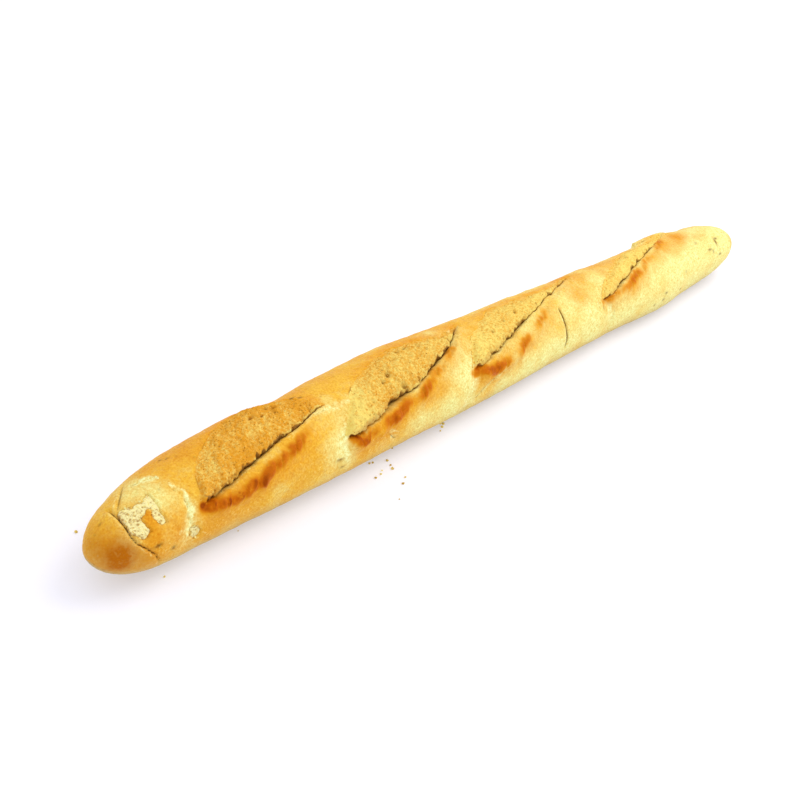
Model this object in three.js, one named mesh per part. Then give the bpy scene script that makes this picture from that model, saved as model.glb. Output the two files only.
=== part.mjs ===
// A baguette: one long loaf with four slashes opened by the oven, a cracked end cap and a torn
// patch of crust. Millimetres, +Z up. X runs along the loaf, -Y is its front, and its flat
// underside rests on z = 0.
//
// Every place on the loaf is given as `along`, the distance from its middle, and `turn`, the angle
// round it in degrees: 0 on top, positive to the front, 180 underneath.

import * as THREE from 'three';

// ---- The loaf's body ----
const LENGTH = 640;
// Full width, and how far the centre line wanders to the front, at even steps along the loaf.
const WIDTHS = [69, 58.4, 62.6, 63.6, 64.8, 60.7, 56.8, 52.6, 52.6, 50, 56];
const BENDS = [9.7, -0.2, -2.3, -2.5, -2.5, -1, -1.3, -0.4, 1.4, -1.6, 1.6];
const HEIGHT_SHARE = 0.82;      // rise of the top over the widest line, against the half width
const WAIST = 24.6;             // height of the widest line
const NEAR_ROUND = 91;          // length over which each end rounds off
const FAR_ROUND = 84;
const BASE_FULLNESS = 1.1;      // over 1, the underside is cut flat along a strip
const BASE_ROUND = 0.8;         // under 1, the lower half is fuller than an ellipse
const SWELL = 0.6;              // slow hand-shaped unevenness of the crust
const SWELL_SIZE = 48;

// ---- The slashes, near end first ----
// start and end are places along the loaf, and turns leads the crack from one to the other in even
// steps. Behind it lies the opened crumb, in front of it the stretched band and then the ear, a
// wrinkled ridge of crust. Openings and bands are widths at even steps from start to end. The
// crack gapes over the `split` share of the length and is a crease beyond it.
const SLASHES = [
  {
    start: -257,
    end: -151,
    turns: [57, 43, 27.5, 19.5, 11],
    openings: [15, 20, 25, 29, 32, 34, 25, 9, 0],
    bands: [2, 7, 9.5, 11, 10.5, 9.5, 8, 6, 3],
    ear: 3.6,
    crack: 7,
    split: 0.7,
  },
  {
    start: -153,
    end: -15,
    turns: [65.5, 50, 33, 12.5, -17.5],
    openings: [8, 18, 24, 26, 25.5, 20.5, 11, 3, 0],
    bands: [3.5, 6.5, 7.7, 7.5, 6.8, 6.4, 5.2, 4, 2],
    ear: 3.2,
    crack: 7,
    split: 0.92,
  },
  {
    start: -37,
    end: 114,
    turns: [56, 38.5, 17, -4, -27],
    openings: [11, 18, 22, 22, 15, 9, 5, 2.5, 0],
    bands: [3, 10, 12, 11, 9.5, 7.5, 6, 5, 3],
    ear: 3,
    crack: 6,
    split: 0.95,
  },
  {
    start: 113,
    end: 242,
    turns: [49, 29, 5, -13.5, -28],
    openings: [5, 9, 11.5, 13, 15, 15.5, 11, 7, 0],
    bands: [2, 4, 6.5, 7.2, 7, 7.4, 6, 4, 2],
    ear: 2.4,
    crack: 5,
    split: 0.72,
  },
];
const BLUNT = 0.07;             // share of a slash over which its near end rounds off
const CREASE = 0.2;             // depth of the crease, against the open crack
const EAR_LEFT = 0.35;          // share of the ear's height that is left at the far end
const CRUMB_SINK = 1.1;         // step down from the back crust to the crumb
const CRUMB_DOME = 2.2;         // rise of the crumb's middle over that step
const CRUMB_EDGE = 1.6;
const CRAG = 0.9;               // roughness of the torn crumb
const CRAG_SIZE = 6.5;
const CRACK_BACK = 2.3;         // half widths of the crack, on its crumb side and its lip side
const CRACK_FRONT = 1;
const UNDERCUT = 2;             // how far the crack runs in under the lip
const LIP = 1.2;                // upstanding edge of the lip
const LIP_RISE = 1.5;
const EAR_FALL = 8;             // distance over which the ear drops to the front crust
const WRINKLE = 0.5;            // share of the ear's height that its wrinkles take
const WRINKLE_SIZE = 7;
const JAG = 0.7;                // wander of the crack from its straight line
const JAG_SIZE = 9;

// ---- Cracks, dents and tears beside the slashes ----
// The cap crack crosses the near end and sweeps back as it comes down the front.
const CAP_AT = -301;
const CAP_SWEEP = 13;
const CAP_TURNS = [-34, 112];
const CAP_DEPTH = 2.6;
const CAP_HALF = 1.1;
const CAP_STEP = 0.7;           // the cap stands this much over the crust behind it

// Lines are [along, turn] from and to, with a half width and a depth.
const CRACKS = [
  { from: [-300, -4], to: [-283, -43], half: 0.9, depth: 1.2 },
  { from: [65, 29], to: [62.5, 92], half: 0.9, depth: 2.2 },
];
const VALLEYS = [
  { from: [-264, 50], to: [-270, 92], half: 6, depth: 2.6 },
  { from: [-148, 36], to: [-162, 88], half: 5.5, depth: 2.4 },
  { from: [-30, 26], to: [-46, 104], half: 5.5, depth: 2 },
  { from: [-10, 73], to: [-38, 99], half: 2.5, depth: 1.1 },
  { from: [116, 28], to: [118, 98], half: 4.5, depth: 1.7 },
];
// Where the thin outer crust has peeled off, bands of bare crumb lie a little lower.
const PEELED = [
  { from: [-296.5, 7], to: [-295.5, 43], half: 4.4, depth: 0.9 },
  { from: [-292, 16], to: [-282, 12], half: 2.8, depth: 0.9 },
  { from: [-281.5, 14], to: [-282.5, 47], half: 2.8, depth: 0.9 },
];
const PEEL_EDGE = 0.8;
// Single mounds and holes: middle as [along, turn], half length, half width and height.
const MOUNDS = [
  { at: [-170, -58], long: 18, wide: 16, height: -3 },
  { at: [-92, -50], long: 28, wide: 14, height: 0.9 },
  { at: [124, -48], long: 20, wide: 14, height: 0.8 },
  { at: [264, -50], long: 10, wide: 14, height: -1.8 },
  { at: [-108, 45], long: 8, wide: 2.8, height: -4 },
  { at: [-98, 34], long: 2, wide: 2, height: -2.2 },
  { at: [-104, 17], long: 3, wide: 1.6, height: -1.6 },
  { at: [-183, -10], long: 2, wide: 2, height: -2 },
  { at: [-200, -10], long: 2.4, wide: 1.8, height: -1.6 },
  { at: [-88, 0], long: 2, wide: 2, height: -1.6 },
  { at: [-64, -5], long: 2.4, wide: 1.6, height: -1.6 },
];
// The torn strip of crust that stands up at the far end of the last slash.
const FLAP = { from: [207, -45], to: [248, -27], half: 4.5, height: 3.4 };

// ---- How finely the surface is cut into triangles ----
const RINGS = 74;
const SECTORS = 22;
const FLAT_TURN = 153;          // the flat strip reaches from here to the same turn behind
const SAG = 0.42;               // an edge is halved where the surface leaves it by more
const SHORTEST = 2.9;
const PASSES = 5;
const NORMAL_STEP = 0.5;

const RELIEF_TURNS = [112, 142]; // relief fades out towards the underside
const TIP_FADE = 8;
const GIRTH_SHARE = 0.91;       // mean radius of a section, against its half width

const CRUST = { color: 0xd9973a, roughness: 0.62, metalness: 0 };

// ---- Small helpers ----
const radians = THREE.MathUtils.degToRad;
const clamp = THREE.MathUtils.clamp;
const mix = THREE.MathUtils.lerp;

function smooth(from, to, value) {
  const share = clamp((value - from) / (to - from), 0, 1);
  return share * share * (3 - 2 * share);
}

function bell(distance, half) {
  return Math.exp(-((distance / half) ** 2));
}

// A smooth curve through values at even steps, read at a share from 0 to 1.
function curveThrough(values, share) {
  const place = clamp(share, 0, 1) * (values.length - 1);
  const index = Math.min(Math.floor(place), values.length - 2);
  const before = values[Math.max(index - 1, 0)];
  const after = values[Math.min(index + 2, values.length - 1)];
  const step = place - index;
  const rise = values[index + 1] - values[index];
  const leave = (values[index + 1] - before) / 2;
  const reach = (after - values[index]) / 2;
  return values[index] + step * (leave + step * (3 * rise - 2 * leave - reach
    + step * (leave + reach - 2 * rise)));
}

function latticeValue(x, y, z) {
  let bits = Math.imul(x, 0x27d4eb2d) ^ Math.imul(y, 0x165667b1) ^ Math.imul(z, 0x1b873593);
  bits = Math.imul(bits ^ (bits >>> 15), 0x2c1b3c6d);
  bits = Math.imul(bits ^ (bits >>> 12), 0x297a2d39);
  return ((bits ^ (bits >>> 15)) >>> 0) / 2147483648 - 1;
}

// Repeatable unevenness from -1 to 1, changing over about `size` millimetres.
function unevenness(x, y, z, size) {
  const cell = [x, y, z].map((value) => Math.floor(value / size));
  const share = [x, y, z].map((value, axis) => smooth(0, 1, value / size - cell[axis]));
  let total = 0;
  for (let corner = 0; corner < 8; corner += 1) {
    const step = [corner & 1, (corner >> 1) & 1, corner >> 2];
    const weights = step.map((side, axis) => (side ? share[axis] : 1 - share[axis]));
    const weight = weights[0] * weights[1] * weights[2];
    total += weight * latticeValue(cell[0] + step[0], cell[1] + step[1], cell[2] + step[2]);
  }
  return total;
}

// ---- The plain body, before any relief ----
function halfWidth(along) {
  return curveThrough(WIDTHS, along / LENGTH + 0.5) / 2;
}

// 1 over most of the length, falling to 0 at each tip as an ellipse does.
function endRounding(along) {
  const nearLeft = 1 - clamp((along + LENGTH / 2) / NEAR_ROUND, 0, 1);
  const farLeft = 1 - clamp((LENGTH / 2 - along) / FAR_ROUND, 0, 1);
  return Math.sqrt(1 - nearLeft ** 2) * Math.sqrt(1 - farLeft ** 2);
}

function bodyPoint(along, turn) {
  const angle = radians(turn);
  const rounding = endRounding(along);
  const half = halfWidth(along) * rounding;
  const across = -curveThrough(BENDS, along / LENGTH + 0.5) - half * Math.sin(angle);
  const lift = Math.cos(angle);
  if (lift >= 0) return new THREE.Vector3(along, across, WAIST + half * HEIGHT_SHARE * lift);
  const drop = WAIST * rounding * BASE_FULLNESS * (-lift) ** BASE_ROUND;
  return new THREE.Vector3(along, across, Math.max(WAIST - drop, 0));
}

function outwardAt(along, turn) {
  const ahead = Math.min(along + NORMAL_STEP, LENGTH / 2);
  const behind = Math.max(along - NORMAL_STEP, -LENGTH / 2);
  const lengthwise = bodyPoint(ahead, turn).sub(bodyPoint(behind, turn));
  const around = bodyPoint(along, turn + NORMAL_STEP).sub(bodyPoint(along, turn - NORMAL_STEP));
  return around.cross(lengthwise).normalize();
}

// ---- Relief, in millimetres outwards and, for an undercut, towards the front ----
// Distance from a line on the surface, and how far along it the nearest point is.
function fromLine(along, turn, from, to, girth) {
  const perDegree = radians(girth);
  const run = [to[0] - from[0], (to[1] - from[1]) * perDegree];
  const offset = [along - from[0], (turn - from[1]) * perDegree];
  const share = (offset[0] * run[0] + offset[1] * run[1]) / (run[0] ** 2 + run[1] ** 2);
  const nearest = clamp(share, 0, 1);
  const distance = Math.hypot(offset[0] - nearest * run[0], offset[1] - nearest * run[1]);
  return { distance, share: nearest };
}

function slashRelief(slash, along, turn, girth, place) {
  const share = (along - slash.start) / (slash.end - slash.start);
  if (share < -0.04 || share > 1.04) return { out: 0, forward: 0 };
  const inside = clamp(share, 0, 1);
  const jag = JAG * unevenness(along, 31 * slash.ear, 0, JAG_SIZE);
  const front = radians(turn - curveThrough(slash.turns, share)) * girth + jag;
  const rounded = Math.sqrt(smooth(0, BLUNT, share));
  const open = Math.max(curveThrough(slash.openings, inside) * rounded, 0.01);
  const gaping = smooth(slash.split + 0.05, slash.split - 0.05, share);
  const ends = smooth(0, 0.08, share) * mix(CREASE, 1, gaping) * smooth(1, 0.93, share);

  const across = clamp(-front / open, 0, 1);
  const within = smooth(-open - CRUMB_EDGE, -open + CRUMB_EDGE, front) * smooth(1, 0, front);
  const dome = CRUMB_DOME * Math.sin(Math.PI * across) - CRUMB_SINK;
  const crag = CRAG * (unevenness(...place, CRAG_SIZE) + 0.6 * unevenness(...place, CRAG_SIZE / 2));
  const crumb = within * smooth(0, 10, open) * (dome + crag * smooth(0, 0.12, across));

  const band = Math.max(curveThrough(slash.bands, inside), 1);
  const lip = LIP * smooth(0, LIP_RISE, front) * smooth(0.7 * band, LIP_RISE, front);
  const wrinkle = 1 - WRINKLE * (0.5 + unevenness(along, 7 * slash.ear, front / 3, WRINKLE_SIZE));
  const rise = smooth(0.15 * band, band, front) * smooth(band + EAR_FALL, band, front);
  const ear = slash.ear * mix(EAR_LEFT, 1, smooth(1, slash.split - 0.15, share)) * wrinkle * rise;

  const half = front < 0 ? CRACK_BACK : CRACK_FRONT;
  const crack = slash.crack * bell(front, half);
  const fades = smooth(0, 0.06, share) * smooth(1, 0.94, share);
  return {
    out: crumb + fades * lip + fades * ear - ends * crack,
    forward: ends * UNDERCUT * bell(front, half),
  };
}

function capRelief(along, turn) {
  const lineAt = CAP_AT + CAP_SWEEP * smooth(40, CAP_TURNS[1], turn);
  const behind = along - lineAt;
  const reach = smooth(CAP_TURNS[0], CAP_TURNS[0] + 22, turn)
    * smooth(CAP_TURNS[1], CAP_TURNS[1] - 18, turn);
  const step = CAP_STEP * smooth(1, -1, behind) * smooth(-9, -2, behind);
  return reach * (step - CAP_DEPTH * bell(behind, CAP_HALF));
}

function lineRelief(line, along, turn, girth) {
  const { distance, share } = fromLine(along, turn, line.from, line.to, girth);
  return -line.depth * bell(distance, line.half) * (0.55 + 0.45 * Math.sin(Math.PI * share));
}

function peelRelief(along, turn, girth) {
  const depths = PEELED.map((strip) => {
    const { distance } = fromLine(along, turn, strip.from, strip.to, girth);
    return strip.depth * smooth(strip.half + PEEL_EDGE, strip.half - PEEL_EDGE, distance);
  });
  return -Math.max(...depths);
}

function moundRelief(mound, along, turn, girth) {
  const lengthwise = (along - mound.at[0]) / mound.long;
  const around = (radians(turn - mound.at[1]) * girth) / mound.wide;
  return mound.height * bell(Math.hypot(lengthwise, around), 1);
}

function flapRelief(along, turn, girth) {
  const { distance, share } = fromLine(along, turn, FLAP.from, FLAP.to, girth);
  return FLAP.height * smooth(FLAP.half, 0.4 * FLAP.half, distance) * smooth(1, 0.55, share);
}

function loafPoint(along, turn) {
  const point = bodyPoint(along, turn);
  const tipDistance = LENGTH / 2 - Math.abs(along);
  const fade = smooth(RELIEF_TURNS[1], RELIEF_TURNS[0], Math.abs(turn))
    * smooth(0, TIP_FADE, tipDistance);
  if (fade === 0) return point;

  const place = point.toArray();
  const girth = halfWidth(along) * endRounding(along) * GIRTH_SHARE;
  let out = SWELL * (unevenness(...place, SWELL_SIZE) + unevenness(...place, SWELL_SIZE / 3) / 2);
  let forward = 0;
  for (const slash of SLASHES) {
    const relief = slashRelief(slash, along, turn, girth, place);
    out += relief.out;
    forward += relief.forward;
  }
  for (const line of [...CRACKS, ...VALLEYS]) out += lineRelief(line, along, turn, girth);
  for (const mound of MOUNDS) out += moundRelief(mound, along, turn, girth);
  out += capRelief(along, turn) + peelRelief(along, turn, girth) + flapRelief(along, turn, girth);

  const outward = outwardAt(along, turn);
  const frontward = new THREE.Vector3(1, 0, 0).cross(outward).negate();
  return point.addScaledVector(outward, fade * out).addScaledVector(frontward, fade * forward);
}

// ---- The surface: even rings, then edges halved where the relief needs it ----
function evenRings() {
  const vertices = [{ along: -LENGTH / 2, turn: 0, tip: true }];
  const turns = Array.from({ length: SECTORS + 1 }, (_, i) => FLAT_TURN * ((2 * i) / SECTORS - 1));
  turns.push(180);
  for (let ring = 1; ring < RINGS; ring += 1) {
    const angle = (Math.PI * ring) / RINGS;
    const even = ring / RINGS - 0.5;
    const along = LENGTH * mix(even, -Math.cos(angle) / 2, 0.35);
    for (const turn of turns) vertices.push({ along, turn, tip: false });
  }
  vertices.push({ along: LENGTH / 2, turn: 0, tip: true });

  const count = turns.length;
  const last = vertices.length - 1;
  const triangles = [];
  const vertexAt = (ring, i) => 1 + (ring - 1) * count + (i % count);
  for (let i = 0; i < count; i += 1) {
    triangles.push([0, vertexAt(1, i + 1), vertexAt(1, i)]);
    triangles.push([last, vertexAt(RINGS - 1, i), vertexAt(RINGS - 1, i + 1)]);
    for (let ring = 1; ring < RINGS - 1; ring += 1) {
      const corners = [vertexAt(ring, i), vertexAt(ring, i + 1),
        vertexAt(ring + 1, i + 1), vertexAt(ring + 1, i)];
      triangles.push([corners[0], corners[1], corners[2]]);
      triangles.push([corners[0], corners[2], corners[3]]);
    }
  }
  return { vertices, triangles };
}

function between(first, second, share) {
  const turnFrom = first.tip ? second.turn : first.turn;
  const turnTo = second.tip ? first.turn : second.turn;
  const swing = ((((turnTo - turnFrom + 180) % 360) + 360) % 360) - 180;
  const turn = ((((turnFrom + share * swing + 180) % 360) + 360) % 360) - 180;
  return { along: mix(first.along, second.along, share), turn, tip: false };
}

function needsHalving(first, second) {
  const from = loafPoint(first.along, first.turn);
  const to = loafPoint(second.along, second.turn);
  if (from.distanceTo(to) < SHORTEST) return false;
  return [0.25, 0.5, 0.75].some((share) => {
    const onEdge = from.clone().lerp(to, share);
    const place = between(first, second, share);
    return loafPoint(place.along, place.turn).distanceTo(onEdge) > SAG;
  });
}

function refine(surface) {
  const middles = new Map();
  const middleOf = (a, b) => {
    const key = a < b ? `${a},${b}` : `${b},${a}`;
    if (!middles.has(key)) {
      const halve = needsHalving(surface.vertices[a], surface.vertices[b]);
      if (halve) surface.vertices.push(between(surface.vertices[a], surface.vertices[b], 0.5));
      middles.set(key, halve ? surface.vertices.length - 1 : -1);
    }
    return middles.get(key);
  };
  const triangles = [];
  for (const triangle of surface.triangles) {
    const cuts = triangle.map((vertex, i) => middleOf(vertex, triangle[(i + 1) % 3]));
    const cutCount = cuts.filter((cut) => cut >= 0).length;
    if (cutCount === 0) triangles.push(triangle);
    if (cutCount === 3) {
      triangles.push(cuts);
      triangle.forEach((vertex, i) => triangles.push([vertex, cuts[i], cuts[(i + 2) % 3]]));
    }
    if (cutCount === 1) {
      const i = cuts.findIndex((cut) => cut >= 0);
      const [a, b, c] = [triangle[i], triangle[(i + 1) % 3], triangle[(i + 2) % 3]];
      triangles.push([a, cuts[i], c], [cuts[i], b, c]);
    }
    if (cutCount === 2) {
      const i = cuts.findIndex((cut) => cut < 0);
      const [a, b, c] = [triangle[i], triangle[(i + 1) % 3], triangle[(i + 2) % 3]];
      const [bc, ca] = [cuts[(i + 1) % 3], cuts[(i + 2) % 3]];
      triangles.push([bc, c, ca], [a, b, bc], [a, bc, ca]);
    }
  }
  return { vertices: surface.vertices, triangles };
}

function loafGeometry() {
  let surface = evenRings();
  for (let pass = 0; pass < PASSES; pass += 1) surface = refine(surface);
  const positions = surface.vertices.flatMap(({ along, turn }) => loafPoint(along, turn).toArray());
  const geometry = new THREE.BufferGeometry();
  geometry.setAttribute('position', new THREE.Float32BufferAttribute(positions, 3));
  geometry.setIndex(surface.triangles.flat());
  geometry.computeBoundingBox();
  const middle = geometry.boundingBox.getCenter(new THREE.Vector3());
  geometry.translate(-middle.x, -middle.y, 0);
  geometry.computeVertexNormals();
  return geometry;
}

const loaf = new THREE.Mesh(loafGeometry(), new THREE.MeshStandardMaterial(CRUST));
loaf.name = 'loaf';

const baguette = new THREE.Group();
baguette.name = 'baguette';
baguette.add(loaf);

export default baguette;
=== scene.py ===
"""A baguette with four slashes opened by the oven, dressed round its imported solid.

A place on the loaf is given as `along`, millimetres from its middle, and `turn`, degrees round
it: 0 on top, positive to the front, 180 underneath. Shapes are worked out in millimetres and
their meshes are in metres.
"""

import math
from dataclasses import dataclass

import bpy
import numpy as np
from mathutils import Matrix, Vector


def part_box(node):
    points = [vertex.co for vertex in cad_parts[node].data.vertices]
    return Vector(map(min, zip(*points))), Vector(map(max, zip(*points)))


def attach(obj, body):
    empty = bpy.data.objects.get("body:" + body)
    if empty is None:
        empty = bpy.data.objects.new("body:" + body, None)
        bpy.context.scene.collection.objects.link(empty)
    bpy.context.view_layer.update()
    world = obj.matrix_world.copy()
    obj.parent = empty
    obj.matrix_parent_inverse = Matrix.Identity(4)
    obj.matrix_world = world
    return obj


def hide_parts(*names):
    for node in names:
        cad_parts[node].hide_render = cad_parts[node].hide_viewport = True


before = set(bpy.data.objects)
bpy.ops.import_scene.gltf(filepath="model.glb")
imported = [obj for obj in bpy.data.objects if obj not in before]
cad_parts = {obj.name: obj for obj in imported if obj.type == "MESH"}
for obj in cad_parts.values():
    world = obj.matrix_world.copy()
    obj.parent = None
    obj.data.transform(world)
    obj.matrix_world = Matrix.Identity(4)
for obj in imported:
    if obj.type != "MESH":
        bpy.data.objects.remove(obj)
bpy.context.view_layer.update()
LOAF_LOW, LOAF_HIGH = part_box("loaf")

bl_info = {
    "name": "Baguette",
    "version": (1, 0, 0),
    "blender": (4, 5, 0),
    "location": "3D View > Sidebar > Baguette",
    "description": "Dresses a baguette's solid with crust, torn crumb, grains and flakes",
    "category": "Object",
}

MM = 0.001

# ---- The loaf's body, as in its solid ----
LENGTH = (LOAF_HIGH.x - LOAF_LOW.x) / MM
# Widths, and how far the middle line bends to the front, at even steps from tip to tip.
WIDTHS = [69, 58.4, 62.6, 63.6, 64.8, 60.7, 56.8, 52.6, 52.6, 50, 56]
BENDS = [9.7, -0.2, -2.3, -2.5, -2.5, -1, -1.3, -0.4, 1.4, -1.6, 1.6]
HEIGHT_SHARE = 0.82             # rise of the top over the widest line, against the half width
WAIST = 24.6                    # height of the widest line
NEAR_ROUND = 91                 # length over which each end rounds off
FAR_ROUND = 84
BASE_FULLNESS = 1.1             # over 1, the underside is cut flat along a strip
BASE_ROUND = 0.8                # under 1, the lower half is fuller than an ellipse
SWELL = 0.6                     # slow hand-shaped unevenness of the crust
SWELL_SIZE = 48
GIRTH_SHARE = 0.91              # mean radius of a section, against its half width
RELIEF_TURNS = (112, 142)       # relief fades out towards the underside
TIP_FADE = 8
NORMAL_STEP = 0.5


@dataclass(frozen=True)
class Slash:
    """A slash, from its near end to its far end. Widths and depths are in millimetres."""

    start: float        # places along the loaf where the crack begins and ends
    end: float
    turns: tuple        # where the crack runs, at even steps along the slash
    openings: tuple     # torn crumb behind the crack, at even steps along the slash
    bands: tuple        # stretched band in front of the crack, up to the ear
    ear: float
    crack: float
    split: float        # share of the length over which the crack gapes
    gape: float         # half width of the crack that stays open
    tan: float          # how baked the torn crumb is
    cream: float        # how far it stayed cream where the slash begins and along the crack
    glow: float         # orange bake along the crumb's back edge and on the band
    rough: float        # how coarse the torn crumb is
    bridged: float      # how far crumb bridges the crack in places
    toast: tuple        # how dark the ear is, at even steps along the slash
    hole: tuple = (0, 1, 0)     # where its crumb tore away: middle, half length and width


SLASHES = (
    Slash(start=-257, end=-151, turns=(58, 46.5, 32.5, 23.5, 12),
          openings=(15.5, 21, 26, 30.3, 33, 33.5, 25.5, 10, 0),
          bands=(2, 7, 9.5, 11, 10.5, 9.5, 8, 6, 3),
          ear=3.6, crack=7, split=0.7, gape=3, tan=1, cream=0.25, glow=0.9, rough=1, bridged=0.3,
          toast=(1.05, 1.15, 1.15, 1.1, 1.1, 1.1, 1.1, 1, 0.9, 0.8, 0.7, 0.55, 0.35, 0.15,
                 0, 0, 0)),
    Slash(start=-153, end=-15, turns=(66.5, 55, 39, 17, -17.5),
          openings=(8.5, 20, 26.7, 29, 28.5, 23.2, 13, 4, 0),
          bands=(3.5, 6.5, 7.7, 7.5, 6.8, 6.4, 5.2, 4, 2),
          ear=3.2, crack=7, split=0.92, gape=2.2, tan=0.58, cream=0.9, glow=0.7, rough=1,
          bridged=0.6, hole=(-108, 7, 3),
          toast=(0.2, 0.95, 0.8, 0.2, 0.85, 1.05, 0.8, 0.35, 0.8, 0.3, 0.5, 0.2, 0.45, 0.2,
                 0.05, 0, 0)),
    Slash(start=-37, end=114, turns=(56, 38.5, 17, -4, -27),
          openings=(11, 18, 22, 22, 15, 9, 5, 2.5, 0),
          bands=(3, 10, 12, 11, 9.5, 7.5, 6, 5, 3),
          ear=3, crack=6, split=0.95, gape=2.4, tan=0.38, cream=0.5, glow=0.5, rough=0.8,
          bridged=0.9,
          toast=(0.6, 0.95, 0.85, 0.7, 0.15, 0.65, 0.5, 0.15, 0.45, 0.35, 0.1, 0, 0, 0, 0, 0, 0)),
    Slash(start=113, end=242, turns=(49, 29, 5, -13.5, -28),
          openings=(5, 9, 11.5, 13, 14, 11, 6.5, 3, 0),
          bands=(2, 4, 6.5, 7.2, 7, 7.4, 6, 4, 2),
          ear=2.4, crack=5, split=0.72, gape=1.8, tan=0.3, cream=0.3, glow=0.4, rough=0.3,
          bridged=0.9,
          toast=(0.25, 0.5, 0.45, 0.3, 0.45, 0.6, 0.5, 0.35, 0.3, 0.2, 0.15, 0.25, 0.4, 0.45,
                 0.15, 0, 0)),
)
BLUNT = 0.07                    # share of a slash over which its near end rounds off
CREASE = 0.2                    # depth of the crease, against the open crack
EAR_LEFT = 0.35                 # share of the ear's height that is left at the far end
SLASH_MARGIN = 0.04             # share of a slash over which it still counts beyond its ends
SLASH_FADE = 0.06               # share over which its lip and ear fade in and out
SPLIT_FADE = 0.05               # share over which the gaping crack turns into a crease
CRUMB_SINK = 0.3                # step down from the back crust to the crumb
CRUMB_DOME = 2.2                # rise of the crumb's middle over that step
CRUMB_EDGE = 1.6
CRAG = 0.9                      # roughness of the torn crumb
CRAG_SIZE = 6.5
CRACK_BACK = 2.3                # half widths of the crack, on its crumb side and its lip side
CRACK_FRONT = 1
UNDERCUT = 2                    # how far the crack runs in under the lip
LIP = 1.2                       # upstanding edge of the lip
LIP_RISE = 1.5
EAR_FALL = 8                    # distance over which the ear drops to the front crust
WRINKLE = 0.5                   # share of the ear's height that its wrinkles take
WRINKLE_SIZE = 7
JAG = 0.7                       # wander of the crack from its straight line
JAG_SIZE = 9

# ---- Cracks, dents and tears beside the slashes ----
CAP_AT = -301                   # the cap's crack crosses the near end
CAP_SWEEP = 13                  # and sweeps back as it comes down the front
CAP_TURNS = (-34, 112)
CAP_DEPTH = 2.6
CAP_HALF = 0.75
CAP_STEP = 0.7                  # the cap stands this much over the crust behind it


@dataclass(frozen=True)
class Line:
    """A crack, valley or strip from one (along, turn) to another."""

    start: tuple
    end: tuple
    half: float
    depth: float


def lines(*rows):
    """Lines from rows of along, turn, along, turn, half width and depth."""
    return tuple(Line(row[:2], row[2:4], *row[4:]) for row in rows)


CRACKS = lines(
    (-300, -4, -283, -43, 0.9, 1.2), (65, 29, 62.5, 92, 0.9, 2.2),
)
VALLEYS = lines(
    (-264, 50, -270, 92, 6, 2.6), (-148, 36, -162, 88, 5.5, 2.4), (-30, 26, -46, 104, 5.5, 2),
    (-10, 73, -38, 99, 2.5, 1.1), (116, 28, 118, 98, 4.5, 1.7),
)
PEELED = lines(
    (-296.5, 7, -295.5, 41, 3.9, 0.9), (-292, 16, -282, 12, 2.8, 0.9),
    (-281.8, 14, -283, 45, 2.3, 0.9), (-266.5, 81, -264, 90, 1.7, 0.9),
)
PEEL_EDGE = 0.8
FLAP, = lines((207, -45, 248, -27, 4.5, 3.4))
# Single mounds and holes: along, turn, half length, half width and height.
MOUNDS = (
    (-170, -58, 18, 16, -3), (-92, -50, 28, 14, 0.9), (124, -48, 20, 14, 0.8),
    (264, -50, 10, 14, -1.8), (-108, 45, 8, 2.8, -4), (-98, 34, 2, 2, -2.2),
    (-104, 17, 3, 1.6, -1.6), (-183, -10, 2, 2, -2), (-200, -10, 2.4, 1.8, -1.6),
    (-88, 0, 2, 2, -1.6), (-64, -5, 2.4, 1.6, -1.6),
)

# ---- Relief too fine for the solid ----
FINE_JAG = 0.45
FINE_JAG_SIZE = 2.4
EDGE_RAGGED = 2.2               # wander of the crumb's back edge
KNOB_PITCH = 7.6                # the ear is a row of uneven knobs
KNOB_HEIGHT = 2.3
KNOBS_BACK = 1.5                # how far behind the ear's front the knobs stand
PLEAT = 0.5                     # pleats that run from the knobs down the front
PLEAT_SIZE = 3.4
KNOB_HALF = 3.2
SHIVER = 0.8                    # wander of lines from their straight course
SHIVER_SIZE = 5
DIMPLE = 0.28
DIMPLE_SIZE = 7
STRETCH_PITCH = 2.4             # stretch lines on the band between crack and ear
STRETCH_DEPTH = 0.1
BLISTER = 0.12
BLISTER_SIZE = 2.6
LOW_BLISTER = 0.14              # more of them low on the sides
LOW_BLISTER_SIZE = 4
# Thin edges where the outer skin of the crust has split or lifted.
SPLITS = lines(
    (-268, 18, -264, 44, 0.6, 0.7), (-264, 44, -267, 62, 0.6, 0.7),
    (-267, 62, -265, 76, 0.6, 0.6), (-279, 50, -273, 84, 0.5, 0.5),
    (-283, -27, -271, -8, 0.8, 0.6), (109, 40, 105, 60, 0.6, 0.5), (-36, 98, -9, 73, 0.8, 0.8),
    (-20, 98, -2, 80, 0.6, 0.6), (-168, 22, -150, 20, 0.5, 0.5), (292, 12, 294, 30, 0.7, 0.7),
    (290, 56, 300, 80, 0.5, 0.4), (-122, 82, -109, 99, 0.9, 0.8), (112, 46, 112, 79, 0.9, 0.8),
    (125, 62, 121, 91, 0.7, 0.5), (205, -40, 240, -24, 0.7, 0.8), (206, -31, 236, -17, 0.7, 0.8),
)

# Skin that was stretched pale; the depth is how pale it is.
PALE_BANDS = lines(
    (-283, -27, -271, -6, 1.8, 0.9), (-268, 12, -262.5, 30, 1.5, 0.6),
    (-262.5, 30, -264.5, 62, 3, 0.95), (-264.5, 62, -270, 88, 2.6, 0.8),
    (-196, 27, -165, 18, 4, 0.42), (-170, 18, -138, 22, 4.5, 0.5), (-154, 62, -154, 92, 3, 0.8),
    (-120, 78, -110, 88, 1.8, 0.5), (-45, -1, -28, -9, 3, 0.5), (-38, 60, -42, 94, 2.4, 0.65),
)
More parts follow.
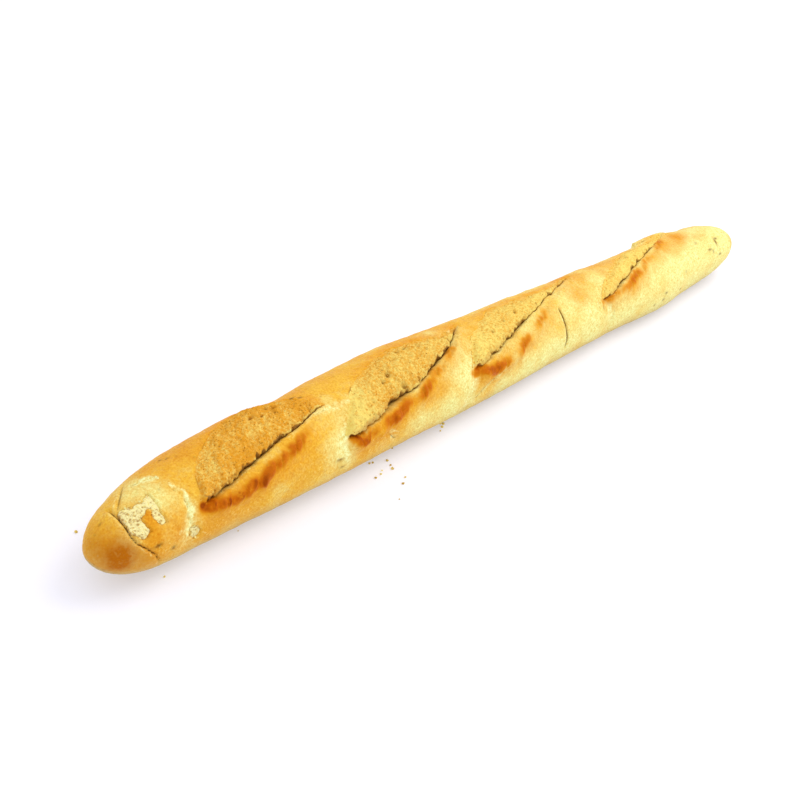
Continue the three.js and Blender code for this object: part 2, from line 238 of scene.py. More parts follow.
# Small dark spots: along, turn, half length, half width and strength.
SPOTS = (
    (-289.3, 74, 2.2, 1, 1.0), (-280, 91, 1.6, 0.9, 0.8), (-264.5, 88, 1.6, 0.8, 1.0),
    (-258.5, -28.6, 1.4, 0.5, 0.8), (-255.5, -23.5, 1.6, 0.5, 0.8), (-308.5, -16, 1, 0.6, 0.7),
    (-172, -15, 1.8, 0.7, 0.9), (-166, -15, 1.8, 0.8, 1.0), (-162, -10, 1.5, 0.7, 1.0),
    (-159.5, 88, 2.4, 0.8, 0.9), (-157.5, 97, 1.6, 0.6, 0.7), (278, 40, 1.2, 3.2, 1.0),
    (281, 33, 2.4, 0.9, 0.9), (265, 52, 3, 0.9, 0.9), (269, 58, 1.1, 1.8, 0.7),
    (279, 72, 2.2, 0.9, 0.9), (294, -26, 2.6, 0.9, 1.0), (251, 27, 1.6, 0.8, 0.7),
    (221, 67, 1.4, 0.8, 0.6), (215, 96, 1.4, 0.8, 0.6), (190, 87, 1.5, 0.9, 0.9),
    (188, 96, 1.8, 0.8, 0.9), (176.5, 98, 1.3, 0.7, 0.6),
)
# Deep pores of the torn crumb: along, turn and radius.
PORES = (
    (-182.6, -10, 1.5), (-187, -14, 1.4), (-199.7, -10.8, 1.2), (-215.4, -16, 1), (-186, -1, 1),
    (-194.6, -4, 0.9), (-90, -1, 1.1), (-80.6, -9, 1.3), (-102.9, 16, 2), (-73.4, -10, 1.1),
    (-96.6, 37, 1.8), (-65, -3, 1.1), (-102.9, 7, 1), (-110, 22, 1), (169, -10, 1), (135, -7, 1),
    (178, -6, 0.9), (10, 12, 0.9), (26, 6, 0.9), (-6, 20, 1),
)

# ---- How finely the loaf is cut into triangles ----
RINGS = 150
SECTORS = 42
FLAT_TURN = 153
SPACING_TOP = 1.28
SPACING_FINE = 0.68
SPACING_HIDDEN = 2.2
SPACING_BASE = 3.6
HALVINGS = 4
BACK_TURN = 120                 # triangles that reach past it both ways cross the underside
STRIP_TURNS = (-200, -112, 112, 200)    # turns, and where they lie across the crust's layout
STRIP_PLACES = (0.01, 0.085, 0.415, 0.49)

# ---- The torn crumb, a sheet laid in each slash ----
SEAT = 3                        # how far the crust is cut away under the crumb
TUCK = 0.5                      # how far the crumb's edge dives under the crust
TUCK_MARGIN = 2.4
WALL_DROP = 5                   # how far the crumb goes down into the crack
WALL_ROWS = 10
CRUMB_STEP_ALONG = 0.43
CRUMB_STEP_ACROSS = 0.5
SHEET_DEPTH = 3.5               # how deep a sheet's closing back lies
CRUMB_BUBBLES = (3.1, 1.6)      # sizes of the crumb's coarse and fine bubbles
BARE_BUBBLES = (2.4, 1.2)
BARE_LOW = (-306, -14)          # the bare patch at the near end, as (along, turn) corners
BARE_HIGH = (-259, 100)
BARE_WIDTH = 56
BARE_STEP = 0.42
# The sheets share one layout: the height and the width of each sheet's strip.
LAYOUT_STRIPS = ((0.23, 0.96), (0.21, 0.96), (0.2, 0.96), (0.17, 0.96), (0.15, 0.4))


# ======== Numbers ========
def smooth(start, stop, value):
    share = np.clip((value - start) / (stop - start), 0, 1)
    return share * share * (3 - 2 * share)


def bell(distance, half):
    return np.exp(-((distance / half) ** 2))


def curve_through(values, share):
    """A smooth curve through values at even steps, read at shares from 0 to 1."""
    values = np.asarray(values, float)
    place = np.clip(share, 0, 1) * (len(values) - 1)
    index = np.minimum(np.floor(place).astype(int), len(values) - 2)
    before = values[np.maximum(index - 1, 0)]
    after = values[np.minimum(index + 2, len(values) - 1)]
    step = place - index
    rise = values[index + 1] - values[index]
    leave = (values[index + 1] - before) / 2
    reach = (after - values[index]) / 2
    bend = leave + reach - 2 * rise
    return values[index] + step * (leave + step * (3 * rise - 2 * leave - reach + step * bend))


def side_by_side(*columns):
    """Makes rows from columns, any of which may be one number for all rows."""
    return np.stack(np.broadcast_arrays(*columns), axis=1)


def lattice_value(x, y, z):
    """A repeatable value from -1 to 1 at each corner of a lattice."""
    x, y, z = (np.atleast_1d(v).astype(np.int64).astype(np.uint32) for v in (x, y, z))
    bits = x * np.uint32(0x27D4EB2D) ^ y * np.uint32(0x165667B1) ^ z * np.uint32(0x1B873593)
    bits = (bits ^ (bits >> np.uint32(15))) * np.uint32(0x2C1B3C6D)
    bits = (bits ^ (bits >> np.uint32(12))) * np.uint32(0x297A2D39)
    return (bits ^ (bits >> np.uint32(15))) / 2147483648.0 - 1


def unevenness(place, size):
    """Repeatable unevenness from -1 to 1, changing over about `size` millimetres."""
    cell = np.floor(place / size)
    share = smooth(0, 1, place / size - cell)
    cell = cell.astype(np.int64)
    total = 0
    for corner in range(8):
        step = np.array([corner & 1, corner >> 1 & 1, corner >> 2])
        weight = np.where(step, share, 1 - share).prod(axis=1)
        total = total + weight * lattice_value(*(cell + step).T)
    return total


def wander(value, lane, size):
    """Unevenness along one line; each lane has its own."""
    return unevenness(side_by_side(value, lane, 0), size)


def bubbles(place, size):
    """Distance to the nearest of scattered bubble middles, in sizes."""
    place = place / size
    cell = np.floor(place).astype(np.int64)
    nearest = np.full(len(place), np.inf)
    for offset in np.ndindex(3, 3, 3):
        corner = cell + np.array(offset) - 1
        shifts = [lattice_value(*(corner + np.array(lane)).T)
                  for lane in ((101, 0, 7), (0, 211, 13), (17, 0, 307))]
        middle = corner + 0.5 + 0.42 * np.stack(shifts, axis=1)
        nearest = np.minimum(nearest, np.linalg.norm(place - middle, axis=1))
    return nearest


# ======== The plain body ========
def half_width(along):
    return curve_through(WIDTHS, along / LENGTH + 0.5) / 2


def end_rounding(along):
    near_left = 1 - np.clip((along + LENGTH / 2) / NEAR_ROUND, 0, 1)
    far_left = 1 - np.clip((LENGTH / 2 - along) / FAR_ROUND, 0, 1)
    return np.sqrt(1 - near_left ** 2) * np.sqrt(1 - far_left ** 2)


def body_points(along, turn):
    """Points of the plain body, without relief."""
    angle = np.radians(turn)
    rounding = end_rounding(along)
    half = half_width(along) * rounding
    across = -curve_through(BENDS, along / LENGTH + 0.5) - half * np.sin(angle)
    lift = np.cos(angle)
    rise = WAIST + half * HEIGHT_SHARE * lift
    drop = WAIST * rounding * BASE_FULLNESS * np.maximum(-lift, 0) ** BASE_ROUND
    height = np.where(lift >= 0, rise, np.maximum(WAIST - drop, 0))
    return side_by_side(along, across, height)


def outward_at(along, turn):
    """The plain body's outward direction."""
    ahead = np.minimum(along + NORMAL_STEP, LENGTH / 2)
    behind = np.maximum(along - NORMAL_STEP, -LENGTH / 2)
    lengthwise = body_points(ahead, turn) - body_points(behind, turn)
    around = body_points(along, turn + NORMAL_STEP) - body_points(along, turn - NORMAL_STEP)
    outward = np.cross(around, lengthwise)
    return outward / np.maximum(np.linalg.norm(outward, axis=1), 1e-9)[:, None]


def displaced(along, turn, place, out, forward):
    """Moves points outwards and towards the front, fading at the tips and the underside."""
    outward = outward_at(along, turn)
    frontward = -np.cross(np.array([1.0, 0, 0]), outward)
    fade = relief_fade(along, turn)
    return place + (fade * out)[:, None] * outward + (fade * forward)[:, None] * frontward


def girth_at(along):
    """Millimetres on the surface for each radian of turn."""
    return half_width(along) * end_rounding(along) * GIRTH_SHARE


# ======== Relief ========
def from_line(line, along, turn, girth, ragged=0):
    """Distance from a line on the surface, and how far along it the nearest point is."""
    per_degree = np.radians(girth)
    run_along = line.end[0] - line.start[0]
    run_round = (line.end[1] - line.start[1]) * per_degree
    off_along = along - line.start[0] + ragged
    off_round = (turn - line.start[1]) * per_degree
    length = np.maximum(run_along ** 2 + run_round ** 2, 1e-6)
    nearest = np.clip((off_along * run_along + off_round * run_round) / length, 0, 1)
    distance = np.hypot(off_along - nearest * run_along, off_round - nearest * run_round)
    return distance, nearest


def slash_places(slash, along, turn, girth):
    """Share along the slash, millimetres in front of its crack, its opening and its band."""
    share = (along - slash.start) / (slash.end - slash.start)
    inside = np.clip(share, 0, 1)
    jag = (JAG * wander(along, 31 * slash.ear, JAG_SIZE)
           + FINE_JAG * wander(along, 57 * slash.ear, FINE_JAG_SIZE))
    front = np.radians(turn - curve_through(slash.turns, share)) * girth + jag
    rounded = np.sqrt(smooth(0, BLUNT, share))
    opening = np.maximum(curve_through(slash.openings, inside) * rounded, 0.01)
    band = np.maximum(curve_through(slash.bands, inside), 1)
    return share, front, opening, band


def gaping(slash, share):
    """How far the crack is open: 1 where it gapes, a little at the crease, 0 beyond its ends."""
    wide = smooth(slash.split + SPLIT_FADE, slash.split - SPLIT_FADE, share)
    return smooth(0, 0.08, share) * (CREASE + (1 - CREASE) * wide) * smooth(1, 0.93, share)


def ear_knobs(slash, along, front, band):
    """Where the ear's ridge runs, its knobs with creases between, and which are scorched."""
    lane = slash.start
    run = along + 0.45 * (front - band)
    phase = run / KNOB_PITCH + 0.9 * wander(run, lane, 15) + 0.4 * wander(run, lane + 1, 5)
    knobs = np.abs(np.sin(np.pi * phase)) ** 0.45 * (0.88 + 0.25 * wander(run, lane + 5, 9))
    knobs = knobs + 0.25 * wander(run + 0.8 * front, lane + 2, 2.1)
    ridge = front - band + KNOBS_BACK - 1.2 * wander(along, lane + 7, 10)
    ridge = ridge + 0.7 * wander(along - 0.6 * front, lane + 8, 2.6)
    scorched = smooth(-0.9, -0.1, wander(run, lane + 9, 8))
    return ridge, np.clip(knobs, 0, 1), scorched


def bridges(slash, along):
    """1 where the crack is open, less where crumb bridges it."""
    return 1 - slash.bridged * smooth(0.15, -0.3, wander(along, 83 * slash.ear, 5.5))


def crumb_level(share, opening, front, ragged):
    """Height of the torn crumb's smooth dome, and how far inside the crumb a place is."""
    edge = opening + ragged
    across = np.clip(-front / opening, 0, 1)
    within = smooth(-edge - CRUMB_EDGE, -edge + CRUMB_EDGE, front) * smooth(1, 0, front)
    sink = CRUMB_SINK * (0.1 + 0.9 * smooth(0.04, 0.35, share))
    dome = CRUMB_DOME * np.sin(np.pi * across) - sink
    return dome, within * smooth(0, 10, opening)


def seated(share):
    """How deep the crumb sits in its slash: hardly at all where the slash begins."""
    return 0.12 + 0.88 * smooth(0.01, 0.13, share)


def edge_ragged(place):
    """How far the crumb's back edge wanders from its opening."""
    return EDGE_RAGGED * (unevenness(place, 6) + 0.5 * unevenness(place, 2.2))


def cap_lines(along, turn):
    """Millimetres behind the cap's crack, and how far the crack reaches round."""
    line_at = CAP_AT + CAP_SWEEP * smooth(40, CAP_TURNS[1], turn)
    behind = along - line_at + 0.5 * wander(turn, 5, 9) + 0.3 * wander(turn, 8, 3)
    reach = (smooth(CAP_TURNS[0], CAP_TURNS[0] + 22, turn)
             * smooth(CAP_TURNS[1], CAP_TURNS[1] - 18, turn))
    return behind, reach


def peeled_share(along, turn, girth, place):
    """1 where the outer skin has peeled off at the near end, 0 elsewhere."""
    ragged = 1.6 * unevenness(place, 4.6) + 0.7 * unevenness(place, 1.9)
    shares = []
    for strip in PEELED:
        distance, _ = from_line(strip, along, turn, girth)
        shares.append(smooth(strip.half + PEEL_EDGE, strip.half - PEEL_EDGE, distance + ragged))
    return np.max(shares, axis=0)


def arched(share):
    """Full in the middle of a line and about half as strong at its ends."""
    return 0.55 + 0.45 * np.sin(np.pi * share)


def shared_relief(along, turn, girth, place):
    """Relief of the whole surface apart from the slashes, outwards, with its masks."""
    out = SWELL * (unevenness(place, SWELL_SIZE) + unevenness(place, SWELL_SIZE / 3) / 2)
    # gap: painted shade inside the cracks, the splits and the cap's crack.
    gap_shade = np.zeros_like(along)
    pale = np.zeros_like(along)
    shiver = SHIVER * unevenness(place, SHIVER_SIZE)
    for line in VALLEYS:
        distance, share = from_line(line, along, turn, girth, 1.6 * shiver)
        dent = bell(distance, line.half) * arched(share)
        out -= line.depth * dent
        pale = np.maximum(pale, 0.6 * dent)
    for line in CRACKS:
        distance, share = from_line(line, along, turn, girth, 0.5 * shiver)
        cleft = line.depth * bell(distance, line.half) * arched(share)
        out -= cleft
        gap_shade = np.maximum(gap_shade, np.minimum(0.68 * cleft, 1))
        pale = np.maximum(pale, 0.4 * bell(distance - 2.2, 1) * arched(share))
    for line in SPLITS:
        distance, _ = from_line(line, along, turn, girth, 1.4 * shiver)
        out -= line.depth * bell(distance, line.half)
        gap_shade = np.maximum(gap_shade, 0.72 * bell(distance, line.half * 0.8) * smooth(-0.3, 0.2, shiver))
        pale = np.maximum(pale, (0.25 + 0.35 * shiver) * bell(distance, 3 * line.half))
    for band in PALE_BANDS:
        distance, share = from_line(band, along, turn, girth, 2.2 * shiver)
        half = band.half * (0.45 + 0.55 * np.sin(np.pi * share))
        pale = np.maximum(pale, band.depth * bell(distance + 1.3 * shiver, half))
    for at, at_turn, long, wide, height in MOUNDS:
        reach = np.hypot((along - at) / long, np.radians(turn - at_turn) * girth / wide)
        out += height * bell(reach, 1)
    behind, reach = cap_lines(along, turn)
    step = CAP_STEP * smooth(1, -1, behind) * smooth(-9, -2, behind)
    out += reach * (step - CAP_DEPTH * bell(behind, CAP_HALF))
    gap_shade = np.maximum(gap_shade, reach * bell(behind, CAP_HALF * 0.7))
    # A thin painted highlight on the cap's raised edge, in front of its crack.
    pale = np.maximum(pale, 0.3 * reach * bell(behind + 1.5, 0.8))
    distance, share = from_line(FLAP, along, turn, girth)
    out += FLAP.depth * smooth(FLAP.half, 0.4 * FLAP.half, distance) * smooth(1, 0.55, share)
    return out, gap_shade, pale


def relief_fade(along, turn):
    """1 where the surface has its full relief, 0 at the tips and underneath."""
    tip_distance = LENGTH / 2 - np.abs(along)
    sides = smooth(RELIEF_TURNS[1], RELIEF_TURNS[0], np.abs(turn))
    return sides * smooth(0, TIP_FADE, tip_distance)


def ear_relief(slash, share, along, front, band, heat):
    """The ear's height, where its ridge runs, its knobs and which of them are scorched."""
    ridge, knobs, scorched = ear_knobs(slash, along, front, band)
    wrinkles = unevenness(side_by_side(along, 7 * slash.ear, front / 3), WRINKLE_SIZE)
    rise = smooth(0.15 * band, band, front) * smooth(band + EAR_FALL, band, front)
    left = EAR_LEFT + (1 - EAR_LEFT) * smooth(1, slash.split - 0.15, share)
    pleats = unevenness(side_by_side(along + 0.5 * front, front / 5, slash.start), PLEAT_SIZE)
    height = (slash.ear * left * (1 - WRINKLE * (0.5 + wrinkles)) * rise
              + KNOB_HEIGHT * (0.25 + 0.75 * heat) * (knobs - 0.5) * bell(ridge, KNOB_HALF)
              + PLEAT * (0.3 + heat) * pleats * bell(ridge - 3.5, 4.5))
    return height, ridge, knobs, scorched


def slash_layers(slash, along, turn, girth, place, ragged):
    """One slash's relief, outwards and towards the front, with its masks."""
    share, front, opening, band = slash_places(slash, along, turn, girth)
    near = (share > -SLASH_MARGIN) & (share < 1 + SLASH_MARGIN)
    fades = near * smooth(0, SLASH_FADE, share) * smooth(1, 1 - SLASH_FADE, share)
    heat = near * np.maximum(curve_through(slash.toast, share), 0)
    heat *= smooth(-SLASH_MARGIN, 0, share)
    dome, within = crumb_level(share, opening, front, ragged)
    within *= near
    lip = LIP * smooth(0, LIP_RISE, front) * smooth(0.7 * band, LIP_RISE, front)
    ear, ridge, knobs, scorched = ear_relief(slash, share, along, front, band, heat)

    ends = near * gaping(slash, share) * bridges(slash, along)
    cleft = ends * bell(front, np.where(front < 0, CRACK_BACK, CRACK_FRONT))
    stretch = np.sin(2 * np.pi * (front + 0.8 * unevenness(place, 9)) / STRETCH_PITCH)
    on_band = fades * smooth(0.8, 2, front) * smooth(band, 0.8 * band, front)
    out = within * (dome - SEAT * seated(share)) + fades * (lip + ear) - slash.crack * cleft
    out += STRETCH_DEPTH * stretch * on_band

    back = front + opening + ragged
    back_glow = bell(back + 3.5, 5) * smooth(1, -1, back) * smooth(0.08, 0.35, share)
    scorched = (0.3 + 0.7 * scorched) * heat * smooth(0.5, 0.9, heat)
    scorched *= 0.8 + 0.9 * unevenness(place + 90, 3.2)
    return out, UNDERCUT * cleft, {
        "hidden": within * smooth(-4, -6, front),
        # gap: painted shade along the crack.
        "gap_shade": ends * bell(front + 0.2, 1.2),
        # pale: a thin painted highlight on the lip's upstanding edge, beside the crack.
        "pale": 0.35 * fades * bell(front - 1.1, 0.6),
        "band": on_band,
        "toast": heat * bell(ridge + 0.3, 3.8) * (0.5 + 0.5 * knobs),
        "scorch": scorched * bell(ridge + 0.6, 2.8) * smooth(0.45, 0.95, knobs),
        "glow": np.maximum.reduce([0.95 * heat ** 0.5 * bell(ridge - 4, 7),
                                   slash.glow * on_band * smooth(0.55, 0.1, share),
                                   1.3 * slash.glow * fades * back_glow]),
        "detail": near * np.maximum(bell(front, 3.2), 0.9 * bell(front - band - 2, 6)),
    }


def loaf_surface(along, turn):
    """The crust's points, with the masks that its finish and its net read."""
    place = body_points(along, turn)
    girth = girth_at(along)
    ragged = edge_ragged(place)
    out, gap_shade, pale = shared_relief(along, turn, girth, place)
    peeled = peeled_share(along, turn, girth, place)
    forward = np.zeros_like(along)
    masks = {"gap_shade": gap_shade, "pale": pale, "band": 0, "toast": 0, "scorch": 0, "glow": 0,
             "tear": smooth(0.02, 0.2, peeled) * smooth(0.98, 0.5, peeled),
             "hidden": smooth(0.98, 1, peeled),
             "detail": np.maximum(gap_shade, 4 * peeled * (1 - peeled))}
    for slash in SLASHES:
        rise, shift, layers = slash_layers(slash, along, turn, girth, place, ragged)
        out += rise
        forward += shift
        for name, values in layers.items():
            masks[name] = np.maximum(masks[name], values)

    blisters = unevenness(place, BLISTER_SIZE) + 0.5 * unevenness(place, BLISTER_SIZE / 2)
    low = smooth(55, 85, np.abs(turn)) * unevenness(place, LOW_BLISTER_SIZE)
    unstretched = 1 - masks.pop("band")
    out += unstretched * (DIMPLE * unevenness(place, DIMPLE_SIZE) + BLISTER * blisters
                          + LOW_BLISTER * low) - SEAT * peeled
    points = displaced(along, turn, place, out, forward)
    points[:, 2] = np.maximum(points[:, 2], 0)
    fade = relief_fade(along, turn)
    return points, {name: values * fade for name, values in masks.items()}


# ---- How baked the crust is, place by place ----
BAKE_ALONG = (0.8, 0.95, 1, 0.78, 0.66, 0.55, 0.32, 0.2, 0.1, 0.05, 0.1)
CREST_BAKE = 0.36               # the crest is baked more, at this turn and around it
CREST_TURN = -32
CREST_SPREAD = 40
# Golden patches of the crust: along, turn, half length, half width and strength.
GOLDEN = (
    (-318, 10, 14, 30, 0.3), (-288, 36, 4.5, 12, 1.3), (-290, 60, 8, 12, 1.1),
    (-288, 84, 14, 13, 0.9), (-270, 100, 12, 8, 0.5), (-277, 72, 9, 12, 0.9),
    (-244, 84, 22, 14, 0.8), (-240, -32, 50, 20, 0.5), (-205, 66, 34, 8, 0.5),
    (-128, 80, 16, 9, 0.75), (-60, -40, 50, 12, 0.35), (-78, 56, 18, 8, 0.35),
    (-10, 68, 12, 8, 0.35), (-24, -5, 14, 9, 0.35), (91, 14, 13, 13, 0.6),
    (103, -28, 18, 13, 0.75), (146, -32, 20, 10, 0.65), (136, -6, 5, 9, 0.5),
    (216, -3, 9, 6, 0.75), (232, 2, 36, 14, 0.35), (241, -5, 15, 9, 1.0), (214, -2, 4, 4, 0.9),
    (258, 10, 16, 6, 0.4), (266, -16, 20, 12, 0.3), (306, 62, 5, 10, 0.35),
    (316, 10, 5, 14, 0.35),
)
# Lighter patches, and the browned end, in the same terms.
LIGHT = (
    (-306, 12, 14, 30, 0.4), (-282, -12, 18, 26, 0.55), (-147, 16, 15, 15, 0.5),
    (-152, 75, 18, 13, 0.9), (-100, 92, 30, 9, 0.45), (-44, 45, 13, 22, 0.9),
    (-46, 2, 11, 12, 0.5), (-66, 92, 44, 9, 0.35), (20, 88, 70, 12, 0.5), (172, 40, 36, 12, 0.2),
)
CAP_BROWN = (
    (-309.5, 71, 10, 11.5, 1.15), (-315, 46, 7, 14, 0.62), (-301, 88, 9, 10, 0.5),
)


def blots(along, turn, girth, spots):
    """The strongest of some soft spots at each place."""
    total = np.zeros_like(along)
    for at, at_turn, long, wide, strength in spots:
        reach = np.hypot((along - at) / long, np.radians(turn - at_turn) * girth / wide)
        total = np.maximum(total, strength * bell(reach, 1))
    return total


def bake_masks(along, turn, place):
    """How the crust is baked and marked at each place, with painted shade towards the underside."""
    girth = girth_at(along)
    bake = curve_through(BAKE_ALONG, along / LENGTH + 0.5)
    bake = bake + CREST_BAKE * bell(turn - CREST_TURN, CREST_SPREAD)
    bake = bake + 0.22 * unevenness(place, 34) + 0.16 * unevenness(place, 12)
    bake = bake - blots(along, turn, girth, LIGHT)
    golden = blots(along, turn, girth, GOLDEN)
    behind, _ = cap_lines(along, turn)
    cap = smooth(1, -2, behind)
    low_cap = cap * smooth(-25, 45, turn)
    brown = blots(along, turn, girth, CAP_BROWN) * cap
    # under: darker crust towards the base, partly a duller crust and partly painted shade towards
    # the floor.
    return {"bake": np.clip(bake / 2, 0, 1), "golden": golden, "brown": brown, "cap": low_cap,
            "spot": blots(along, turn, girth, SPOTS),
            "low": smooth(45, 95, np.abs(turn)) * (1 - cap),
            "under": smooth(92, 135, np.abs(turn))}


# ======== The loaf's mesh ========
def even_rings():
    """A coarse net of rings as (along, turn, whether a tip) and triangles."""
    turns = np.append(np.linspace(-FLAT_TURN, FLAT_TURN, SECTORS + 1), 180.0)
    ring = np.arange(1, RINGS)
    even = ring / RINGS - 0.5
    rounded = -np.cos(np.pi * ring / RINGS) / 2
    rows = LENGTH * (0.65 * even + 0.35 * rounded)
    along = np.concatenate([[-LENGTH / 2], np.repeat(rows, len(turns)), [LENGTH / 2]])
    turn = np.concatenate([[0], np.tile(turns, len(rows)), [0]])
    tip = np.zeros(len(along), bool)
    tip[[0, -1]] = True

    count = len(turns)
    near = np.arange(count)
    ahead = (near + 1) % count
    faces = [side_by_side(0, 1 + ahead, 1 + near)]
    for first in 1 + count * np.arange(RINGS - 2):
        a, b, c, d = first + near, first + ahead, first + count + ahead, first + count + near
        faces += [side_by_side(a, b, c), side_by_side(a, c, d)]
    last = 1 + count * (RINGS - 2)
    faces.append(side_by_side(len(along) - 1, last + near, last + ahead))
    return along, turn, tip, np.concatenate(faces)


def halve_edges(along, turn, tip, faces, is_long):
    """Cuts every long edge in two and its triangles to match."""
    sides = np.stack([faces, np.roll(faces, -1, axis=1)], axis=2).reshape(-1, 2)
    sides.sort(axis=1)
    keys, which = np.unique(sides[:, 0] * len(along) + sides[:, 1], return_inverse=True)
    first, second = keys // len(along), keys % len(along)
    cut = is_long(first, second)
    number = np.where(cut, len(along) + np.cumsum(cut) - 1, -1)
    middles = number[which].reshape(-1, 3)

    one, two = first[cut], second[cut]
    turn_one = np.where(tip[one], turn[two], turn[one])
    turn_two = np.where(tip[two], turn[one], turn[two])
    swing = (turn_two - turn_one + 180) % 360 - 180
    turn = np.append(turn, (turn_one + swing / 2 + 180) % 360 - 180)
    along = np.append(along, (along[one] + along[two]) / 2)
    tip = np.append(tip, np.zeros(len(one), bool))

    count = (middles >= 0).sum(axis=1)
    new = [faces[count == 0]]
    v, m = faces[count == 3], middles[count == 3]
    new.append(m)
    new += [side_by_side(v[:, k], m[:, k], m[:, k - 1]) for k in range(3)]
    for cuts in (1, 2):
        v, m = faces[count == cuts], middles[count == cuts]
        odd = (m >= 0) if cuts == 1 else (m < 0)
        order = (odd.argmax(axis=1)[:, None] + np.arange(3)) % 3
        v, m = np.take_along_axis(v, order, 1), np.take_along_axis(m, order, 1)
        a, b, c = v.T
        if cuts == 1:
            new += [side_by_side(a, m[:, 0], c), side_by_side(m[:, 0], b, c)]
        else:
            new += [side_by_side(m[:, 1], c, m[:, 2]), side_by_side(a, b, m[:, 1]),
                    side_by_side(a, m[:, 1], m[:, 2])]
    return along, turn, tip, np.concatenate(new)


def wanted_spacing(along, turn):
    """How far apart the crust's points should lie, finest where the relief is."""
    _, masks = loaf_surface(along, turn)
    spacing = SPACING_TOP + (SPACING_FINE - SPACING_TOP) * np.clip(1.3 * masks["detail"], 0, 1)
    spacing += (SPACING_HIDDEN - spacing) * masks["hidden"]
    base = smooth(98, 132, np.abs(turn))
    return spacing + (SPACING_BASE - spacing) * base


def loaf_net():
    """The crust's net: rings whose long edges are halved until they are short enough."""
    along, turn, tip, faces = even_rings()
    for _ in range(HALVINGS):
        spacing = wanted_spacing(along, turn)
        points = body_points(along, turn)

        def is_long(first, second):
            length = np.linalg.norm(points[first] - points[second], axis=1)
            return length > 0.7 * (spacing[first] + spacing[second])

        along, turn, tip, faces = halve_edges(along, turn, tip, faces, is_long)
    return along, turn, tip, faces


def loaf_shift():
    """How far across the solid was moved to stand in the middle of its box."""
    along, turn = (v.ravel() for v in np.meshgrid(
        np.linspace(-LENGTH / 2, LENGTH / 2, 641), np.linspace(60, 110, 26)))
    front = loaf_surface(along, turn)[0][:, 1]
    back = loaf_surface(along, -turn)[0][:, 1]
    return (LOAF_LOW.y + LOAF_HIGH.y) / 2 - (front.min() + back.max()) / 2 * MM


SOLID_SHIFT = loaf_shift()


def write_mask(mesh, name, values):
    attribute = mesh.attributes.new(name, "FLOAT", "POINT")
    attribute.data.foreach_set("value", np.clip(values, 0, 1).astype(np.float32))


def read_mask(mesh, name):
    values = np.zeros(len(mesh.vertices), np.float32)
    mesh.attributes[name].data.foreach_get("value", values)
    return values


def link_new(name, data):
    """A new object in the scene."""
    made = bpy.data.objects.new(name, data)
    bpy.context.scene.collection.objects.link(made)
    return made


def new_mesh_object(name, points, faces, masks):
    """Makes a smoothly shaded mesh object from arrays, with its masks as attributes."""
    mesh = bpy.data.meshes.new(name)
    mesh.from_pydata(points.tolist(), [], faces.tolist())
    for mask_name, values in masks.items():
        write_mask(mesh, mask_name, values)
    mesh.shade_smooth()
    return link_new(name, mesh)


def bake_layout(mesh, along, turn, tip, faces):
    """Unrolls the crust as two strips, the near half over the far half."""
    ends, turns, is_tip = along[faces], turn[faces], tip[faces]
    crosses = (turns.min(axis=1) < -BACK_TURN) & (turns.max(axis=1) > BACK_TURN)
    turns = np.where(crosses[:, None] & (turns < -BACK_TURN), turns + 360, turns)
    mean = np.where(is_tip, 0, turns).sum(axis=1) / (~is_tip).sum(axis=1)
    turns = np.where(is_tip, mean[:, None], turns)
    far = (ends.mean(axis=1) > 0)[:, None]
    share = (ends - np.where(far, 0, -LENGTH / 2)) / (LENGTH / 2)
    u = 0.01 + 0.98 * np.clip(share * 0.985 + 0.0075, 0, 1)
    v = np.interp(turns, STRIP_TURNS, STRIP_PLACES) + np.where(far, 0.5, 0)
    layer = mesh.uv_layers.new(name="OFBake")
    layer.uv.foreach_set("vector", np.stack([u, v], axis=2).astype(np.float32).ravel())


def make_crust():
    """The crust as one object, with its masks and its layout."""
    along, turn, tip, faces = loaf_net()
    points, masks = loaf_surface(along, turn)
    masks |= bake_masks(along, turn, points)
    for only_for_net in ("hidden", "detail"):
        masks.pop(only_for_net)
    crust = new_mesh_object("crust", to_frame_array(points), faces, masks)
    bake_layout(crust.data, along, turn, tip, faces)
    return crust


def to_frame_array(points):
    """Takes points in the loaf's millimetres to the frame's metres."""
    shift = np.array([(LOAF_LOW.x + LOAF_HIGH.x) / 2, SOLID_SHIFT, 0])
    return points * MM + shift


# ======== The torn crumb ========
def crumb_texture(place, along, front):
    """Fine relief of torn crumb: crags, cell walls, pits and teeth along the crack, with painted
    shade for its hollows.
    """
    crag = CRAG * (unevenness(place, CRAG_SIZE) + 0.6 * unevenness(place, CRAG_SIZE / 2))
    coarse = bubbles(place, CRUMB_BUBBLES[0])
    fine = bubbles(place + 40, CRUMB_BUBBLES[1])
    teeth = unevenness(side_by_side(along, front / 6, 0), 2.4) * smooth(-6.5, -1.5, front)
    lumps = 0.35 * unevenness(place + 15, 11) + 0.7 * unevenness(place + 25, 2.3)
    height = 0.8 * crag + lumps + 0.8 * (coarse - 0.5) + 0.95 * (fine - 0.5) + 0.8 * teeth
    pit_shade = (smooth(0.42, 0.1, coarse) * 0.4 + smooth(0.45, 0.1, fine) * 0.7
           + smooth(0.2, 0.7, -teeth) * 0.7)
    return height, np.clip(pit_shade, 0, 1)


def pore_share(along, turn, girth):
    """1 at the bottom of each deep pore."""
    round_spots = [(at, at_turn, radius, radius, 1) for at, at_turn, radius in PORES]
    return blots(along, turn, girth, round_spots)


def as_grid(shape, points, masks):
    """A sheet's points and masks as columns and rows."""
    return points.reshape(*shape, 3), {name: v.reshape(shape) for name, v in masks.items()}


def crumb_edge_gap(slash, along, ends, bridged):
    """How far the crumb stays back from the middle of the crack."""
    uneven = 0.7 + 0.6 * wander(along, 3, 7) + 0.5 * wander(along, 9, 2.4)
    uneven = uneven + 0.3 * wander(along, 12, 1.1)
    gape = 0.25 * bridged - 0.15 + slash.gape * ends * bridged * uneven
    hole_at, hole_half, hole_wide = slash.hole
    return np.maximum(gape, -0.2) + hole_wide * bell(along - hole_at, hole_half)


